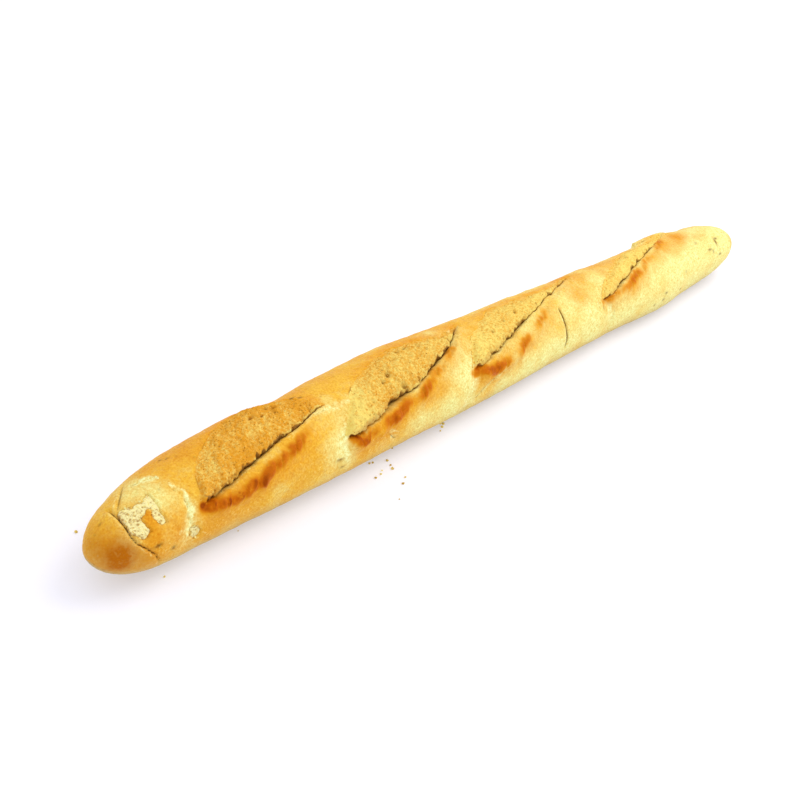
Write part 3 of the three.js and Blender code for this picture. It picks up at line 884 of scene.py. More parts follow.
def crumb_sheet(slash):
    """The torn crumb of one slash: rows from its tucked back edge to the foot of the crack."""
    length = slash.end - slash.start
    columns = int(length / CRUMB_STEP_ALONG)
    rows = int((max(slash.openings) + TUCK_MARGIN) / CRUMB_STEP_ACROSS)
    share = np.repeat(np.linspace(0, 1, columns), rows + WALL_ROWS)
    along = slash.start + share * length
    girth = girth_at(along)
    step = np.tile(np.append(np.linspace(0, 1, rows), np.ones(WALL_ROWS)), columns)
    down = np.tile(np.append(np.zeros(rows), np.arange(1, WALL_ROWS + 1) / WALL_ROWS), columns)

    crack_turn = curve_through(slash.turns, share)
    _, jag, opening, _ = slash_places(slash, along, crack_turn, girth)
    ends = gaping(slash, share)
    gape = crumb_edge_gap(slash, along, ends, bridges(slash, along))
    retreat = 0.4 * slash.openings[0] * smooth(BLUNT, 0, share)
    back = -(opening + TUCK_MARGIN)
    front = back + step * (-gape - retreat - back) + 0.8 * np.maximum(gape, 0) * smooth(0, 1, down)
    turn = crack_turn + np.degrees((front - jag) / girth)

    place = body_points(along, turn)
    base, _, _ = shared_relief(along, turn, girth, place)
    ragged = edge_ragged(place)
    dome, within = crumb_level(share, opening, front, ragged)
    height, pit_shade = crumb_texture(place, along, front)
    pores = pore_share(along, turn, girth)
    edge = -(opening + ragged)
    tuck = TUCK * smooth(edge - 0.8, edge - 2.2, front) * seated(share)
    tuck += TUCK * smooth(6, 0, opening) * smooth(0.1, 0.3, share) - 0.2 * smooth(0.12, 0.04, share)
    texture_fade = slash.rough * smooth(edge - 1, edge + 3, front) * smooth(2, 9, opening)
    streak = unevenness(side_by_side(along + 0.35 * front, front / 5, 9), 2.6)
    streak *= smooth(0, -3, front)
    out = base + within * dome - tuck + (height + 0.45 * slash.tan * streak) * texture_fade
    out -= 1.5 * pores + WALL_DROP * down * ends + 2 * down * (1 - ends)
    wall_noise = 0.5 * unevenness(place + side_by_side(0, 0, 6 * down), 1.6)
    points = displaced(along, turn, place, out, np.where(down > 0, wall_noise * ends, 0))

    tan = slash.tan * (0.85 + 0.3 * unevenness(place, 14) + 0.35 * streak) * smooth(0, -2, front)
    tan *= 1 - slash.cream * smooth(0.3, 0.02, share)
    rim = smooth(edge + 5, edge + 1, front + unevenness(place + 33, 3))
    rim *= 1 - slash.cream * smooth(0.35, 0.08, share)
    cream = slash.cream * (1 - 0.8 * smooth(0.1, 0.4, share))
    # deep: painted shade down the crack wall and in the pores.
    deep = smooth(0.05, 0.7, down) * (0.85 + 0.5 * wander(along, 17, 1.6)) * np.maximum(ends, 0.4)
    return as_grid((columns, rows + WALL_ROWS), points, {
        "tan": np.maximum(tan, rim * (0.15 + 0.8 * slash.glow)),
        "grit": np.full_like(along, slash.rough),
        # pit: painted shade in the crumb's hollows and pores.
        "pit_shade": np.maximum(pit_shade * texture_fade, pores),
        "wall": np.maximum(smooth(0, 0.3, down), cream * smooth(-5, -1.5, front) * ends),
        "bare": np.zeros_like(along),
        "deep": np.maximum(deep, 0.35 * pores),
    })


def bare_sheet():
    """The crumb laid bare where the outer skin has peeled off at the near end."""
    columns = int((BARE_HIGH[0] - BARE_LOW[0]) / BARE_STEP)
    rows = int(BARE_WIDTH / BARE_STEP)
    along = np.repeat(np.linspace(BARE_LOW[0], BARE_HIGH[0], columns), rows)
    turn = np.tile(np.linspace(BARE_LOW[1], BARE_HIGH[1], rows), columns)
    girth = girth_at(along)
    place = body_points(along, turn)
    base, gap_shade, _ = shared_relief(along, turn, girth, place)
    peeled = peeled_share(along, turn, girth, place)
    coarse = bubbles(place, BARE_BUBBLES[0])
    fine = bubbles(place + 40, BARE_BUBBLES[1])
    height = 0.6 * (coarse - 0.4) + 0.45 * (fine - 0.5) + 0.3 * unevenness(place, 4)
    out = base - 0.75 - 1.6 * smooth(0.45, 0.05, peeled) + height * smooth(0.3, 1, peeled)
    # pit: painted shade in the bubble hollows; random mottling is added to it below.
    pit_shade = 0.7 * smooth(0.45, 0.1, coarse) + 0.45 * smooth(0.4, 0.1, fine)
    return as_grid((columns, rows), place + out[:, None] * outward_at(along, turn), {
        "tan": 0.2 * smooth(0.8, 0.3, peeled),
        "grit": np.ones_like(along),
        "pit_shade": pit_shade + 0.35 * unevenness(place + 70, 5),
        "wall": np.zeros_like(along),
        "bare": np.ones_like(along),
        "deep": gap_shade,
    })


def close_sheet(points, masks):
    """Adds a lowered back row to a sheet and joins it round to the last row, as a closed skin."""
    columns, rows, _ = points.shape
    centre = points.mean(axis=1, keepdims=True)
    centre[:, :, 2] = WAIST
    inward = centre - points[:, :1]
    inward /= np.linalg.norm(inward, axis=2, keepdims=True)
    points = np.concatenate([points[:, :1] + SHEET_DEPTH * inward, points], axis=1).reshape(-1, 3)
    masks = {name: np.append(v[:, :1], v, axis=1).ravel() for name, v in masks.items()}
    rows += 1
    index = np.arange(columns * rows).reshape(columns, rows)
    after = np.roll(index, -1, axis=1)
    quads = np.stack([index[:-1], after[:-1], after[1:], index[1:]], axis=2).reshape(-1, 4)
    faces = [quads[:, [0, 1, 2]], quads[:, [0, 2, 3]]]
    for column, order in ((index[0], 1), (index[-1], -1)):
        ring = column[::order]
        faces.append(side_by_side(len(points), np.roll(ring, -1), ring))
        points = np.append(points, points[column].mean(axis=0)[None], axis=0)
        masks = {name: np.append(v, v[column[0]]) for name, v in masks.items()}
    layout = side_by_side(np.repeat(np.linspace(0, 1, columns), rows),
                          np.tile(np.linspace(0, 1, rows), columns))
    layout = np.append(layout, [[-0.01, 0.5], [1.01, 0.5]], axis=0)
    return points, np.concatenate(faces), masks, layout


def make_torn_crumb():
    """Joins the sheets of torn and bare crumb into one object."""
    sheets = [crumb_sheet(slash) for slash in SLASHES] + [bare_sheet()]
    points, faces, layouts, masks = [], [], [], []
    start, floor = 0, 0.005
    for sheet, (height, width) in zip(sheets, LAYOUT_STRIPS):
        sheet_points, triangles, sheet_masks, layout = close_sheet(*sheet)
        points.append(sheet_points)
        faces.append(triangles + start)
        masks.append(sheet_masks)
        layouts.append((0.02, floor) + layout * (width, height - 0.01))
        start += len(sheet_points)
        floor += height
    points, faces, layouts = (np.concatenate(v) for v in (points, faces, layouts))
    masks = {name: np.concatenate([v[name] for v in masks]) for name in masks[0]}
    crumb = new_mesh_object("torn_crumb", to_frame_array(points), faces, masks)
    layer = crumb.data.uv_layers.new(name="OFBake")
    layer.uv.foreach_set("vector", layouts[faces.ravel()].astype(np.float32).ravel())
    return crumb


# ======== Nodes ========
def colour(value):
    return (*value, 1.0)


class Nodes:
    """Adds nodes to a tree. Inputs are values or other nodes' outputs."""

    def __init__(self, tree):
        self.tree = tree

    def add(self, kind, sockets=None, **settings):
        """Adds a node, sets its properties, and links or sets its inputs."""
        made = self.tree.nodes.new(kind)
        for name, value in settings.items():
            setattr(made, name, value)
        for name, value in (sockets or {}).items():
            if isinstance(value, bpy.types.NodeSocket):
                self.tree.links.new(value, made.inputs[name])
            else:
                made.inputs[name].default_value = value
        return made

    def math(self, operation, *values, clamp=False):
        return self.add("ShaderNodeMath", dict(enumerate(values)), operation=operation,
                        use_clamp=clamp).outputs[0]

    def times(self, first, second, clamp=False):
        return self.math("MULTIPLY", first, second, clamp=clamp)

    def plus(self, first, second):
        return self.math("ADD", first, second)

    def scaled(self, value, factor, offset=0.0, clamp=False):
        """The value times the factor, plus the offset."""
        return self.math("MULTIPLY_ADD", value, factor, offset, clamp=clamp)

    def vector(self, operation, first, second):
        """Vector maths, where a scale is by a single number."""
        second_input = 3 if operation == "SCALE" else 1
        return self.add("ShaderNodeVectorMath", {0: first, second_input: second},
                        operation=operation).outputs[0]

    def spread(self, value, low, high, to_low=0.0, to_high=1.0, way="SMOOTHSTEP"):
        """Maps a value from one range to another."""
        return self.add("ShaderNodeMapRange",
                        {"Value": value, "From Min": low, "From Max": high,
                         "To Min": to_low, "To Max": to_high},
                        interpolation_type=way).outputs[0]

    def mask(self, name):
        return self.add("ShaderNodeAttribute", attribute_name=name).outputs["Fac"]

    def blend(self, share, first, second, way="MIX"):
        """Mixes two colours, each a setting or another node's output."""
        first, second = (tone if isinstance(tone, bpy.types.NodeSocket) else colour(tone)
                         for tone in (first, second))
        return self.add("ShaderNodeMix", {0: share, 6: first, 7: second}, data_type="RGBA",
                        blend_type=way, clamp_factor=True).outputs[2]

    def cover(self, tone, *layers):
        """Lays colours over a tone in turn, each by its share."""
        for share, over in layers:
            tone = self.blend(share, tone, over)
        return tone


# ======== Materials ========
SHEEN = (1.0, 0.72, 0.25, 1.0)  # highlights of crust and crumb are warm
DULL = 0.1                      # how much they reflect
MOTTLE_INPUTS = (("Place", "NodeSocketVector"), ("Size", "NodeSocketFloat"))
MOTTLE_OUTPUTS = ("Broad", "Fine", "Grain", "Specks")
MOTTLE_NOISES = ((60.0, 3.0, 0.55), (320.0, 4.0, 0.6), (800.0, 3.0, 0.7))
SPECK_SCALE = 260.0


def mottle_group():
    """Unevenness of baked flour at four sizes: patches, mottling, grain and dark specks."""
    name = "Baked mottle"
    if name in bpy.data.node_groups:
        return bpy.data.node_groups[name]
    tree = bpy.data.node_groups.new(name, "ShaderNodeTree")
    for label, kind in MOTTLE_INPUTS:
        tree.interface.new_socket(label, in_out="INPUT", socket_type=kind)
    for label in MOTTLE_OUTPUTS:
        tree.interface.new_socket(label, in_out="OUTPUT", socket_type="NodeSocketFloat")
    nodes = Nodes(tree)
    given = nodes.add("NodeGroupInput").outputs
    place = nodes.vector("SCALE", given["Place"], given["Size"])
    noises = [nodes.add("ShaderNodeTexNoise", {"Vector": place, "Scale": scale, "Detail": detail,
                                               "Roughness": roughness}).outputs["Fac"]
              for scale, detail, roughness in MOTTLE_NOISES]
    cells = nodes.add("ShaderNodeTexVoronoi", {"Vector": place, "Scale": SPECK_SCALE},
                      feature="F1").outputs
    specks = nodes.times(nodes.spread(cells["Color"], 0.78, 0.86),
                         nodes.spread(cells["Distance"], 0.3, 0.14))
    nodes.add("NodeGroupOutput", dict(zip(MOTTLE_OUTPUTS, (*noises, specks))))
    return tree


def start_material(name, roughness, size=1.0):
    """A material with its nodes, its shader and the outputs of its mottling."""
    material = bpy.data.materials.new(name)
    material.use_nodes = True
    nodes = Nodes(material.node_tree)
    shader = material.node_tree.nodes["Principled BSDF"]
    shader.inputs["Roughness"].default_value = roughness
    shader.inputs["Specular IOR Level"].default_value = DULL
    shader.inputs["Specular Tint"].default_value = SHEEN
    where = nodes.add("ShaderNodeTexCoord").outputs["Object"]
    mottle = nodes.add("ShaderNodeGroup", {"Place": where, "Size": size},
                       node_tree=mottle_group())
    return material, nodes, shader, [mottle.outputs[label] for label in MOTTLE_OUTPUTS]


def finish_shader(nodes, shader, tone, height, distance, strength=1.0):
    """Links the shader's colour and its bump."""
    bump = nodes.add("ShaderNodeBump",
                     {"Height": height, "Distance": distance, "Strength": strength})
    nodes.tree.links.new(tone, shader.inputs["Base Color"])
    nodes.tree.links.new(bump.outputs[0], shader.inputs["Normal"])


def crust_material(tones):
    material, nodes, shader, mottle = start_material("Baked crust", 0.5)
    broad, fine, grain, specks = mottle
    shake = nodes.scaled(fine, 1.2, -0.6)
    rasp = nodes.scaled(grain, 1.0, -0.5)
    jitter = nodes.plus(nodes.scaled(broad, 1.6, -0.8), shake)

    bake = nodes.scaled(nodes.mask("bake"), 2.0, jitter)
    golden = nodes.scaled(jitter, 0.5, nodes.mask("golden"), clamp=True)
    golden = nodes.times(golden, nodes.spread(nodes.mask("golden"), 0.02, 0.2))
    glow = nodes.times(nodes.mask("glow"), nodes.scaled(broad, 1.2, 0.3), clamp=True)
    cap = nodes.times(nodes.mask("cap"), nodes.scaled(broad, 0.9), clamp=True)
    grainy = nodes.scaled(nodes.plus(rasp, shake), 1.2, 1.0)
    brown = nodes.times(nodes.mask("brown"), grainy, clamp=True)
    tone = nodes.cover(nodes.blend(bake, tones.pale, tones.golden),
                       (nodes.spread(bake, 0.95, 1.7, 0.0, 0.7), tones.orange),
                       (golden, tones.orange), (glow, tones.glow), (cap, tones.glow),
                       (brown, tones.brown))

    flour = nodes.times(nodes.spread(fine, 0.35, 0.7), nodes.spread(grain, 0.5, 0.7))
    flour = nodes.times(nodes.mask("low"), flour)
    # pale: stretched skin, and painted highlights on the lips and the cap's edge.
    pale = nodes.scaled(shake, 0.9, nodes.mask("pale"))
    # The underside tone is partly duller crust and partly painted shade towards the floor.
    tone = nodes.cover(tone, (nodes.scaled(flour, 0.35), tones.skin),
                       (nodes.spread(pale, 0.1, 0.9), tones.skin),
                       (nodes.scaled(nodes.mask("under"), 0.85), tones.under))

    uneven = nodes.scaled(nodes.plus(jitter, rasp), 1.3, 1.0)
    toast = nodes.times(nodes.mask("toast"), uneven)
    scorch = nodes.times(nodes.mask("scorch"), uneven)
    dark = nodes.math("MAXIMUM", nodes.scaled(specks, 0.22),
                      nodes.scaled(nodes.mask("spot"), 1.1, clamp=True))
    tone = nodes.cover(tone, (nodes.spread(toast, 0.03, 0.4), tones.glow),
                       (nodes.spread(toast, 0.1, 0.7), tones.toast),
                       (nodes.spread(scorch, 0.15, 0.95), tones.scorch), (dark, tones.crack))

    rough = nodes.plus(rasp, nodes.scaled(shake, 0.5))
    mottling = nodes.add("ShaderNodeCombineColor", {
        "Red": nodes.scaled(rough, 0.5, 1.0), "Green": nodes.scaled(rough, 1.3, 0.99),
        "Blue": nodes.scaled(rough, 2.6, 0.96)})
    tone = nodes.blend(1.0, tone, mottling.outputs[0], "MULTIPLY")
    # Painted shade: the cracks and splits take the crack tone.
    tone = nodes.cover(tone, (nodes.spread(nodes.mask("gap_shade"), 0.35, 0.95), tones.crack))
    height = nodes.plus(nodes.scaled(fine, 0.6), nodes.scaled(grain, 0.5))
    finish_shader(nodes, shader, tone, height, 0.0009)
    return material


def crumb_material(tones):
    material, nodes, shader, mottle = start_material("Torn crumb", 0.85, 2.2)
    broad, fine, grain, specks = mottle
    shake = nodes.scaled(fine, 2.4, -1.2)
    sway = nodes.plus(nodes.scaled(broad, 0.5, -0.25), shake)
    tan = nodes.spread(nodes.plus(nodes.mask("tan"), sway), -0.1, 1.1)
    wall = nodes.times(nodes.mask("wall"), nodes.scaled(shake, 0.5, 0.9), clamp=True)
    dots = nodes.math("MAXIMUM", nodes.scaled(specks, 0.9), nodes.spread(grain, 0.58, 0.8))
    dots = nodes.times(dots, nodes.scaled(nodes.mask("tan"), 0.4, 0.25))
    dots = nodes.times(dots, nodes.mask("grit"))
    # Painted shade: the crumb's pits darken towards the pore tone, the bare crumb's pits towards
    # its pit tone.
    pit_shade = nodes.spread(nodes.scaled(shake, 0.35, nodes.mask("pit_shade")), 0.3, 1.1)
    dark = nodes.math("MAXIMUM", dots, nodes.scaled(pit_shade, 0.8))
    bare_pit_shade = nodes.spread(nodes.plus(nodes.mask("pit_shade"), sway), -0.1, 0.9)
    bare = nodes.blend(bare_pit_shade, tones.bare, tones.bare_shade)
    # Painted shade: the crumb down in the cracks and pores takes the crack tone.
    tone = nodes.cover(nodes.blend(tan, tones.crumb, tones.tan), (wall, tones.wall),
                       (dark, tones.pore), (nodes.mask("bare"), bare),
                       (nodes.mask("deep"), tones.crack))
    finish_shader(nodes, shader, tone, nodes.plus(fine, nodes.scaled(grain, 0.5)), 0.0008, 0.7)
    return material


def grain_material(name, first, second):
    """Grains take the second colour by chance and where the crumb under them is tan."""
    material, nodes, shader, (broad, _, grain, _) = start_material(name, 0.85, 2.0)
    chance = nodes.spread(broad, 0.35, 0.65, -0.1, 0.7)
    share = nodes.scaled(nodes.mask("tan"), 0.8, chance, clamp=True)
    finish_shader(nodes, shader, nodes.blend(share, first, second), grain, 0.0004, 0.5)
    return material


# ======== Scattered grains, flakes and crumbs ========
SCATTER_INPUTS = (
    ("Geometry", "NodeSocketGeometry"),
    ("Density", "NodeSocketFloat"),
    ("Size", "NodeSocketFloat"),
    ("Flatness", "NodeSocketFloat"),
    ("Lift", "NodeSocketFloat"),
    ("Seed", "NodeSocketInt"),
    ("Finish", "NodeSocketMaterial"),
)
LUMP_SCALE = 1500.0
SPIN = (0.5, 0.5, 3.1)          # how far bits lean and turn, in radians
BIT_SIZES = (0.45, 1.25)
GRAINS_TO_DEPTH = 0.3           # crumb darker than this, down in a crack, has no grains


def scatter_tree(name, weight):
    """Lumpy bits scattered over a surface where its `weight` mask is high."""
    tree = bpy.data.node_groups.new(name, "GeometryNodeTree")
    for label, kind in SCATTER_INPUTS:
        tree.interface.new_socket(label, in_out="INPUT", socket_type=kind)
    tree.interface.new_socket("Geometry", in_out="OUTPUT", socket_type="NodeSocketGeometry")
    nodes = Nodes(tree)
    given = nodes.add("NodeGroupInput").outputs
    chance = nodes.add("GeometryNodeInputNamedAttribute", {"Name": weight}, data_type="FLOAT")
    density = nodes.times(chance.outputs["Attribute"], given["Density"])
    spots = nodes.add("GeometryNodeDistributePointsOnFaces",
                      {"Mesh": given["Geometry"], "Density": density, "Seed": given["Seed"]},
                      distribute_method="RANDOM").outputs
    lift = nodes.vector("SCALE", spots["Normal"], given["Lift"])
    raised = nodes.add("GeometryNodeSetPosition", {"Geometry": spots["Points"], "Offset": lift})

    lump = nodes.add("GeometryNodeMeshIcoSphere", {"Radius": given["Size"], "Subdivisions": 1})
    place = nodes.add("GeometryNodeInputPosition").outputs[0]
    noise = nodes.add("ShaderNodeTexNoise", {"Vector": place, "Scale": LUMP_SCALE})
    swell = nodes.spread(noise.outputs["Fac"], 0.3, 0.7, 0.6, 1.3, way="LINEAR")
    squeeze = nodes.add("ShaderNodeCombineXYZ", {"X": 1.0, "Y": 0.75, "Z": given["Flatness"]})
    shaped = nodes.vector("MULTIPLY", nodes.vector("SCALE", place, swell), squeeze.outputs[0])
    bit = nodes.add("GeometryNodeSetPosition", {"Geometry": lump.outputs["Mesh"],
                                                "Position": shaped})

    spin = nodes.add("FunctionNodeRandomValue", {
        "Min": tuple(-angle for angle in SPIN), "Max": SPIN, "Seed": given["Seed"]},
        data_type="FLOAT_VECTOR")
    sized = nodes.add("FunctionNodeRandomValue", {
        2: BIT_SIZES[0], 3: BIT_SIZES[1], "Seed": given["Seed"]}, data_type="FLOAT")
    turned = nodes.add("FunctionNodeRotateRotation", {
        "Rotation": spots["Rotation"], "Rotate By": spin.outputs[0]}, rotation_space="LOCAL")
    strewn = nodes.add("GeometryNodeInstanceOnPoints", {
        "Points": raised.outputs[0], "Instance": bit.outputs[0],
        "Rotation": turned.outputs[0], "Scale": sized.outputs[1]})
    real = nodes.add("GeometryNodeRealizeInstances", {"Geometry": strewn.outputs[0]})
    finish = nodes.add("GeometryNodeSetMaterial",
                       {"Geometry": real.outputs[0], "Material": given["Finish"]})
    nodes.add("NodeGroupOutput", {0: finish.outputs[0]})
    return tree


def strew(name, ground, tree, **inputs):
    """Runs a scatter tree on a copy of the ground and keeps the result as a plain mesh."""
    holder = link_new(name + "_holder", ground.data.copy())
    modifier = holder.modifiers.new("Scatter", "NODES")
    modifier.node_group = tree
    sockets = {item.name: item.identifier for item in tree.interface.items_tree
               if item.in_out == "INPUT"}
    for label, value in inputs.items():
        modifier[sockets[label]] = value
    bpy.context.view_layer.update()
    shown = holder.evaluated_get(bpy.context.evaluated_depsgraph_get())
    mesh = bpy.data.meshes.new_from_object(shown)
    mesh.name = name
    holder.modifiers.remove(modifier)
    bpy.data.objects.remove(holder)
    if not mesh.polygons:
        raise RuntimeError(f"{name} came out empty")
    return link_new(name, mesh)


# Clusters of crumbs on the floor, in millimetres: x, y, radius and share of the density.
CLUSTERS = (
    (-104, -19, 4, 1.0), (-118, -22, 8, 0.6), (-129, -23, 5, 0.6), (-118, -31, 14, 0.2),
    (-56, -23, 3.5, 0.9), (-111, -42, 4, 0.4), (-227.5, -21.5, 2.5, 1.2), (-281, -21, 4, 0.7),
    (-276, -29, 3, 0.5), (-299, 28, 3, 0.7), (-284, 38, 2.5, 0.8),
)
CRUMBED_X = (-320, -30, 140)    # the patch of floor that they lie on: from, to and steps
CRUMBED_Y = (-60, 60, 60)


def fallen_ground():
    """A patch of floor before the loaf that knows how densely crumbs lie on it."""
    x, y = (v.ravel() for v in np.meshgrid(np.linspace(*CRUMBED_X), np.linspace(*CRUMBED_Y),
                                           indexing="ij"))
    index = np.arange(len(x)).reshape(CRUMBED_X[2], CRUMBED_Y[2])
    faces = np.stack([index[:-1, :-1], index[1:, :-1], index[1:, 1:], index[:-1, 1:]], axis=2)
    near = np.max([share * bell(np.hypot(x - middle_x, y - middle_y), radius)
                   for middle_x, middle_y, radius, share in CLUSTERS], axis=0)
    points = side_by_side(x, y, 0) * MM
    return new_mesh_object("fallen_ground", points, faces.reshape(-1, 4), {"near": near})


# ======== Settings ========
def tone_property(name, description, default):
    return bpy.props.FloatVectorProperty(name=name, description=description, default=default,
                                         size=3, min=0, max=1, subtype="COLOR")


class BaguetteTones(bpy.types.PropertyGroup):
    """Colours of the crust and the crumb, some of which also paint shade and highlights."""

    pale: tone_property("Pale crust", "Lightly baked crust", (0.83, 0.76, 0.27))
    golden: tone_property("Golden crust", "Well baked crust", (0.80, 0.45, 0.042))
    orange: tone_property("Orange crust", "Deeply baked crust", (0.72, 0.31, 0.016))
    glow: tone_property("Orange glow", "Crust baked orange beside the ear", (0.75, 0.33, 0.014))
    brown: tone_property("Brown crust", "Browned end of the loaf", (0.45, 0.125, 0.002))
    # The stretched skin tone also paints highlights on the ears' lips and on the cap's raised edge.
    skin: tone_property("Stretched skin", "Skin pulled pale by the oven spring", (0.85, 0.80, 0.33))
    # Partly the duller crust of the base, partly painted shade towards the floor.
    under: tone_property("Underside", "Duller crust towards the base", (0.48, 0.37, 0.15))
    toast: tone_property("Toasted ear", "Toasted edge of the ear", (0.54, 0.13, 0.002))
    scorch: tone_property("Scorched ear", "Darkest spots of the ear", (0.29, 0.048, 0.001))
    # The crack tone is painted shade inside the cracks; it also colours the dark spots and specks
    # of the crust.
    crack: tone_property("Crack", "Inside of the cracks", (0.20, 0.09, 0.012))
    crumb: tone_property("Light crumb", "Torn crumb that stayed light", (0.86, 0.69, 0.17))
    tan: tone_property("Baked crumb", "Torn crumb that was baked", (0.74, 0.33, 0.022))
    # The pore tone is painted shade in the crumb's pits and pores, and the colour of its dark
    # specks and grains.
    pore: tone_property("Pores", "Pits and specks of the torn crumb", (0.34, 0.14, 0.011))
    wall: tone_property("Crack wall", "Crumb inside the crack", (0.54, 0.32, 0.08))
    bare: tone_property("Bare crumb", "Crumb under the peeled skin", (0.92, 0.83, 0.37))
    # The bare crumb's pit tone is painted shade in its hollows, mixed with random mottling.
    bare_shade: tone_property("Bare crumb pits", "Pits of the bare crumb", (0.50, 0.31, 0.10))


def radius_property(name, description, default, low=0.0001, high=0.002):
    return bpy.props.FloatProperty(name=name, description=description, default=default,
                                   min=low, max=high, unit="LENGTH")


def density_property(name, description, default):
    return bpy.props.FloatProperty(name=name + " per square metre", description=description,
                                   default=default, min=0, max=2e6)


class BaguetteGrains(bpy.types.PropertyGroup):
    """Sizes of the loose grains and flakes on the loaf."""

    grain: radius_property("Grain radius", "Radius of a crumb grain", 0.00034)
    grains_per_area: density_property("Grains", "How densely the torn crumb is strewn", 420000.0)
    toasted: radius_property("Toasted grain radius", "Radius of a toasted grain", 0.0003)
    toasted_per_area: density_property("Toasted grains", "How densely toasted grains lie",
                                       260000.0)
    flake: radius_property("Flake radius", "Radius of a flake of skin", 0.0008, 0.0002, 0.005)
    flakes_per_area: density_property("Flakes", "How densely flakes lie round the tears",
                                      400000.0)
    fallen: radius_property("Fallen crumb radius", "Radius of a crumb on the floor", 0.0011,
                            0.0002, 0.005)
    fallen_per_area: density_property("Fallen crumbs", "How densely crumbs lie in a cluster",
                                      60000.0)
    seed: bpy.props.IntProperty(name="Seed", description="Which scatter", default=7, min=0)


class BaguetteStage(bpy.types.PropertyGroup):
    """Floor, light and camera."""

    floor: tone_property("Floor", "Colour of the floor", (0.66, 0.66, 0.68))
    glow: bpy.props.FloatProperty(
        name="Floor glow", description="How far the floor is lit from below", default=0.33, min=0)
    daylight: bpy.props.FloatProperty(
        name="Daylight", description="Strength of the light from all round", default=1.07, min=0)
    fill: tone_property("Daylight colour", "Colour of the light from all round", (0.92, 0.92, 1.0))
    key: bpy.props.FloatProperty(
        name="Key light", description="Power of the large soft light", default=8.0, min=0,
        unit="POWER")
    lens: bpy.props.FloatProperty(
        name="Lens", description="Focal length in millimetres", default=54.0, min=10)
    roll: bpy.props.FloatProperty(
        name="Roll", description="How far the camera leans", default=math.radians(10),
        subtype="ANGLE")


# ======== Operators ========
def settings(context):
    return context.scene.baguette_tones, context.scene.baguette_grains


class BAGUETTE_OT_crust(bpy.types.Operator):
    """Makes the crust: the whole skin of the loaf with its slashes, ears and cracks"""

    bl_idname = "baguette.crust"
    bl_label = "Crust"

    def execute(self, context):
        tones, _ = settings(context)
        crust = make_crust()
        crust.data.materials.append(crust_material(tones))
        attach(crust, "root")
        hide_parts("loaf")
        return {"FINISHED"}


class BAGUETTE_OT_torn_crumb(bpy.types.Operator):
    """Makes the torn crumb in the four slashes and under the peeled skin"""

    bl_idname = "baguette.torn_crumb"
    bl_label = "Torn crumb"

    def execute(self, context):
        tones, _ = settings(context)
        crumb = make_torn_crumb()
        crumb.data.materials.append(crumb_material(tones))
        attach(crumb, "root")
        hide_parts("loaf")
        return {"FINISHED"}


class BAGUETTE_OT_grains(bpy.types.Operator):
    """Strews crumb grains and toasted grains over the torn crumb"""

    bl_idname = "baguette.grains"
    bl_label = "Crumb grains"

    def execute(self, context):
        tones, sizes = settings(context)
        ground = bpy.data.objects["torn_crumb"]
        shallow = read_mask(ground.data, "deep") < GRAINS_TO_DEPTH
        write_mask(ground.data, "rough", shallow)
        write_mask(ground.data, "baked", shallow * read_mask(ground.data, "tan"))
        grains = strew("crumb_grains", ground, scatter_tree("Scatter grains", "rough"),
                       Density=sizes.grains_per_area, Size=sizes.grain, Flatness=0.7,
                       Seed=sizes.seed, Lift=0.0,
                       Finish=grain_material("Crumb grains", tones.crumb, tones.tan))
        toasted = strew("toasted_grains", ground, scatter_tree("Scatter toasted", "baked"),
                        Density=sizes.toasted_per_area, Size=sizes.toasted, Flatness=0.6,
                        Seed=sizes.seed + 1, Lift=0.0,
                        Finish=grain_material("Toasted grains", tones.toast, tones.pore))
        for made in (grains, toasted):
            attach(made, "root")
        return {"FINISHED"}


class BAGUETTE_OT_flakes(bpy.types.Operator):
    """Strews flakes of skin round the peeled patches"""

    bl_idname = "baguette.flakes"
    bl_label = "Flakes"

    def execute(self, context):
        tones, sizes = settings(context)
        ground = bpy.data.objects["crust"]
        flakes = strew("flakes", ground, scatter_tree("Scatter flakes", "tear"),
                       Density=sizes.flakes_per_area, Size=sizes.flake, Flatness=0.22,
                       Seed=sizes.seed, Lift=0.0003,
                       Finish=grain_material("Flakes", tones.skin, tones.golden))
        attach(flakes, "root")
        return {"FINISHED"}


class BAGUETTE_OT_fallen_crumbs(bpy.types.Operator):
    """Strews fallen crumbs over the floor, in the clusters where they lie"""

    bl_idname = "baguette.fallen_crumbs"
    bl_label = "Fallen crumbs"

    def execute(self, context):
        tones, sizes = settings(context)
        ground = fallen_ground()
        fallen = strew("fallen_crumbs", ground, scatter_tree("Scatter fallen", "near"),
                       Density=sizes.fallen_per_area, Size=sizes.fallen, Flatness=0.7,
                       Seed=sizes.seed, Lift=0.0004,
                       Finish=grain_material("Fallen crumbs", tones.crumb, tones.pore))
        bpy.data.objects.remove(ground)
        return {"FINISHED"}


class BAGUETTE_OT_stage(bpy.types.Operator):
    """Lays the floor and sets the light and the camera"""

    bl_idname = "baguette.stage"
    bl_label = "Stage"

    def execute(self, context):
        make_stage(context.scene.baguette_stage)
        return {"FINISHED"}


# ======== Stage ========
FLOOR_HALF = 4.0
EYE = Vector((-573.81, -394.86, 464.21)) * MM
TARGET = Vector((-86, -7.54, 25)) * MM
KEY_FROM = Vector((0.7, -0.3, 1.1))
KEY_SIZE = 1.1
KEY_COLOUR = (1.0, 0.97, 0.92)
SENSOR_WIDTH = 36
NEAREST = 0.01                  # the camera sees nothing nearer than this


def aim(eye, target, roll=0.0):
    """A matrix that stands at `eye`, looks at `target` and leans by `roll`."""
    ahead = (target - eye).normalized()
    right = ahead.cross(Vector((0, 0, 1))).normalized()
    up = right.cross(ahead)
    leaned = right * math.cos(roll) + up * math.sin(roll)
    upright = up * math.cos(roll) - right * math.sin(roll)
    turned = Matrix((leaned, upright, -ahead)).transposed().to_4x4()
    turned.translation = eye
    return turned


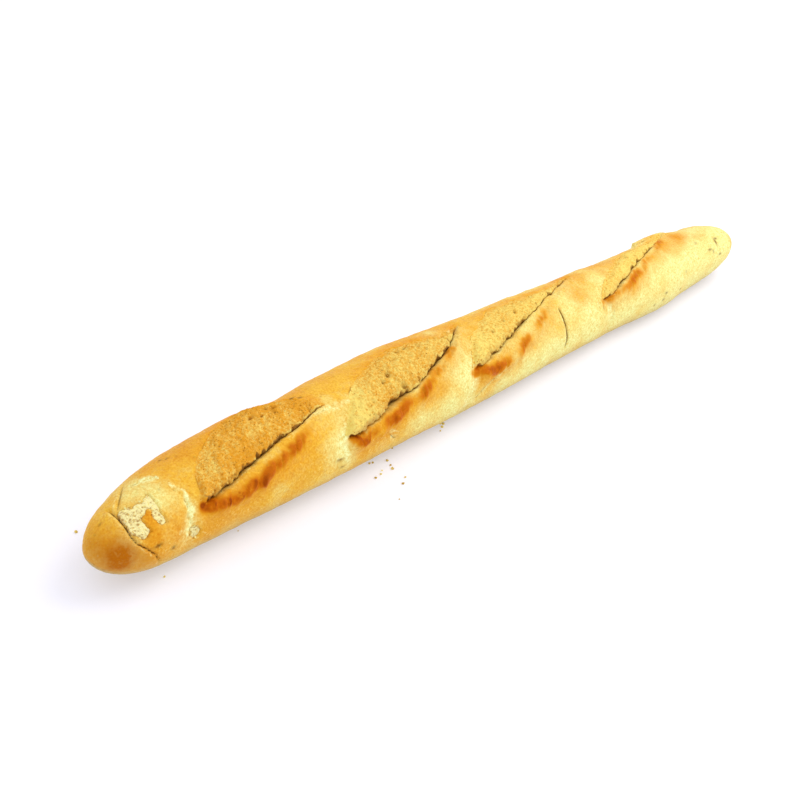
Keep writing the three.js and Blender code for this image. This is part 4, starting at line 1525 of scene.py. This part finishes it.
def make_stage(values):
    scene = bpy.context.scene
    mesh = bpy.data.meshes.new("floor")
    corners = [(x * FLOOR_HALF, y * FLOOR_HALF, 0) for x, y in ((-1, -1), (1, -1), (1, 1), (-1, 1))]
    mesh.from_pydata(corners, [], [(0, 1, 2, 3)])
    floor = link_new("floor", mesh)
    finish = bpy.data.materials.new("Floor")
    finish.use_nodes = True
    shader = finish.node_tree.nodes["Principled BSDF"]
    shader.inputs["Base Color"].default_value = colour(values.floor)
    shader.inputs["Emission Color"].default_value = colour(values.fill)
    shader.inputs["Emission Strength"].default_value = values.glow
    shader.inputs["Roughness"].default_value = 0.9
    shader.inputs["Specular IOR Level"].default_value = DULL
    mesh.materials.append(finish)

    world = bpy.data.worlds.new("Studio")
    world.use_nodes = True
    backdrop = world.node_tree.nodes["Background"]
    backdrop.inputs["Color"].default_value = colour(values.fill)
    backdrop.inputs["Strength"].default_value = values.daylight
    scene.world = world

    key = bpy.data.lights.new("Key", "AREA")
    key.shape = "DISK"
    key.size = KEY_SIZE
    key.energy = values.key
    key.color = KEY_COLOUR
    link_new("Key", key).matrix_world = aim(KEY_FROM, TARGET)

    camera = bpy.data.cameras.new("Camera")
    camera.lens = values.lens
    camera.sensor_width = SENSOR_WIDTH
    camera.clip_start = NEAREST
    scene.camera = link_new("Camera", camera)
    scene.camera.matrix_world = aim(EYE, TARGET, values.roll)
    scene.view_settings.view_transform = "Standard"
    scene.view_settings.look = "None"


# ======== Panel and registration ========
OPERATORS = (BAGUETTE_OT_stage, BAGUETTE_OT_crust, BAGUETTE_OT_torn_crumb, BAGUETTE_OT_grains,
             BAGUETTE_OT_flakes, BAGUETTE_OT_fallen_crumbs)
GROUPS = {"baguette_tones": BaguetteTones, "baguette_grains": BaguetteGrains,
          "baguette_stage": BaguetteStage}


class BAGUETTE_PT_panel(bpy.types.Panel):
    """Lists the loaf's settings and the steps that make it"""

    bl_label = "Baguette"
    bl_idname = "BAGUETTE_PT_panel"
    bl_space_type = "VIEW_3D"
    bl_region_type = "UI"
    bl_category = "Baguette"

    def draw(self, context):
        for step in OPERATORS:
            self.layout.operator(step.bl_idname)
        for name, group in GROUPS.items():
            box = self.layout.box()
            for setting in group.__annotations__:
                box.prop(getattr(context.scene, name), setting)


def register():
    for kind in (*GROUPS.values(), *OPERATORS, BAGUETTE_PT_panel):
        bpy.utils.register_class(kind)
    for name, group in GROUPS.items():
        setattr(bpy.types.Scene, name, bpy.props.PointerProperty(type=group))


def unregister():
    for name in GROUPS:
        delattr(bpy.types.Scene, name)
    for kind in (BAGUETTE_PT_panel, *reversed(OPERATORS), *reversed(GROUPS.values())):
        bpy.utils.unregister_class(kind)


def main():
    register()
    for step in OPERATORS:
        family, name = step.bl_idname.split(".")
        getattr(getattr(bpy.ops, family), name)()


if __name__ == "__main__":
    main()
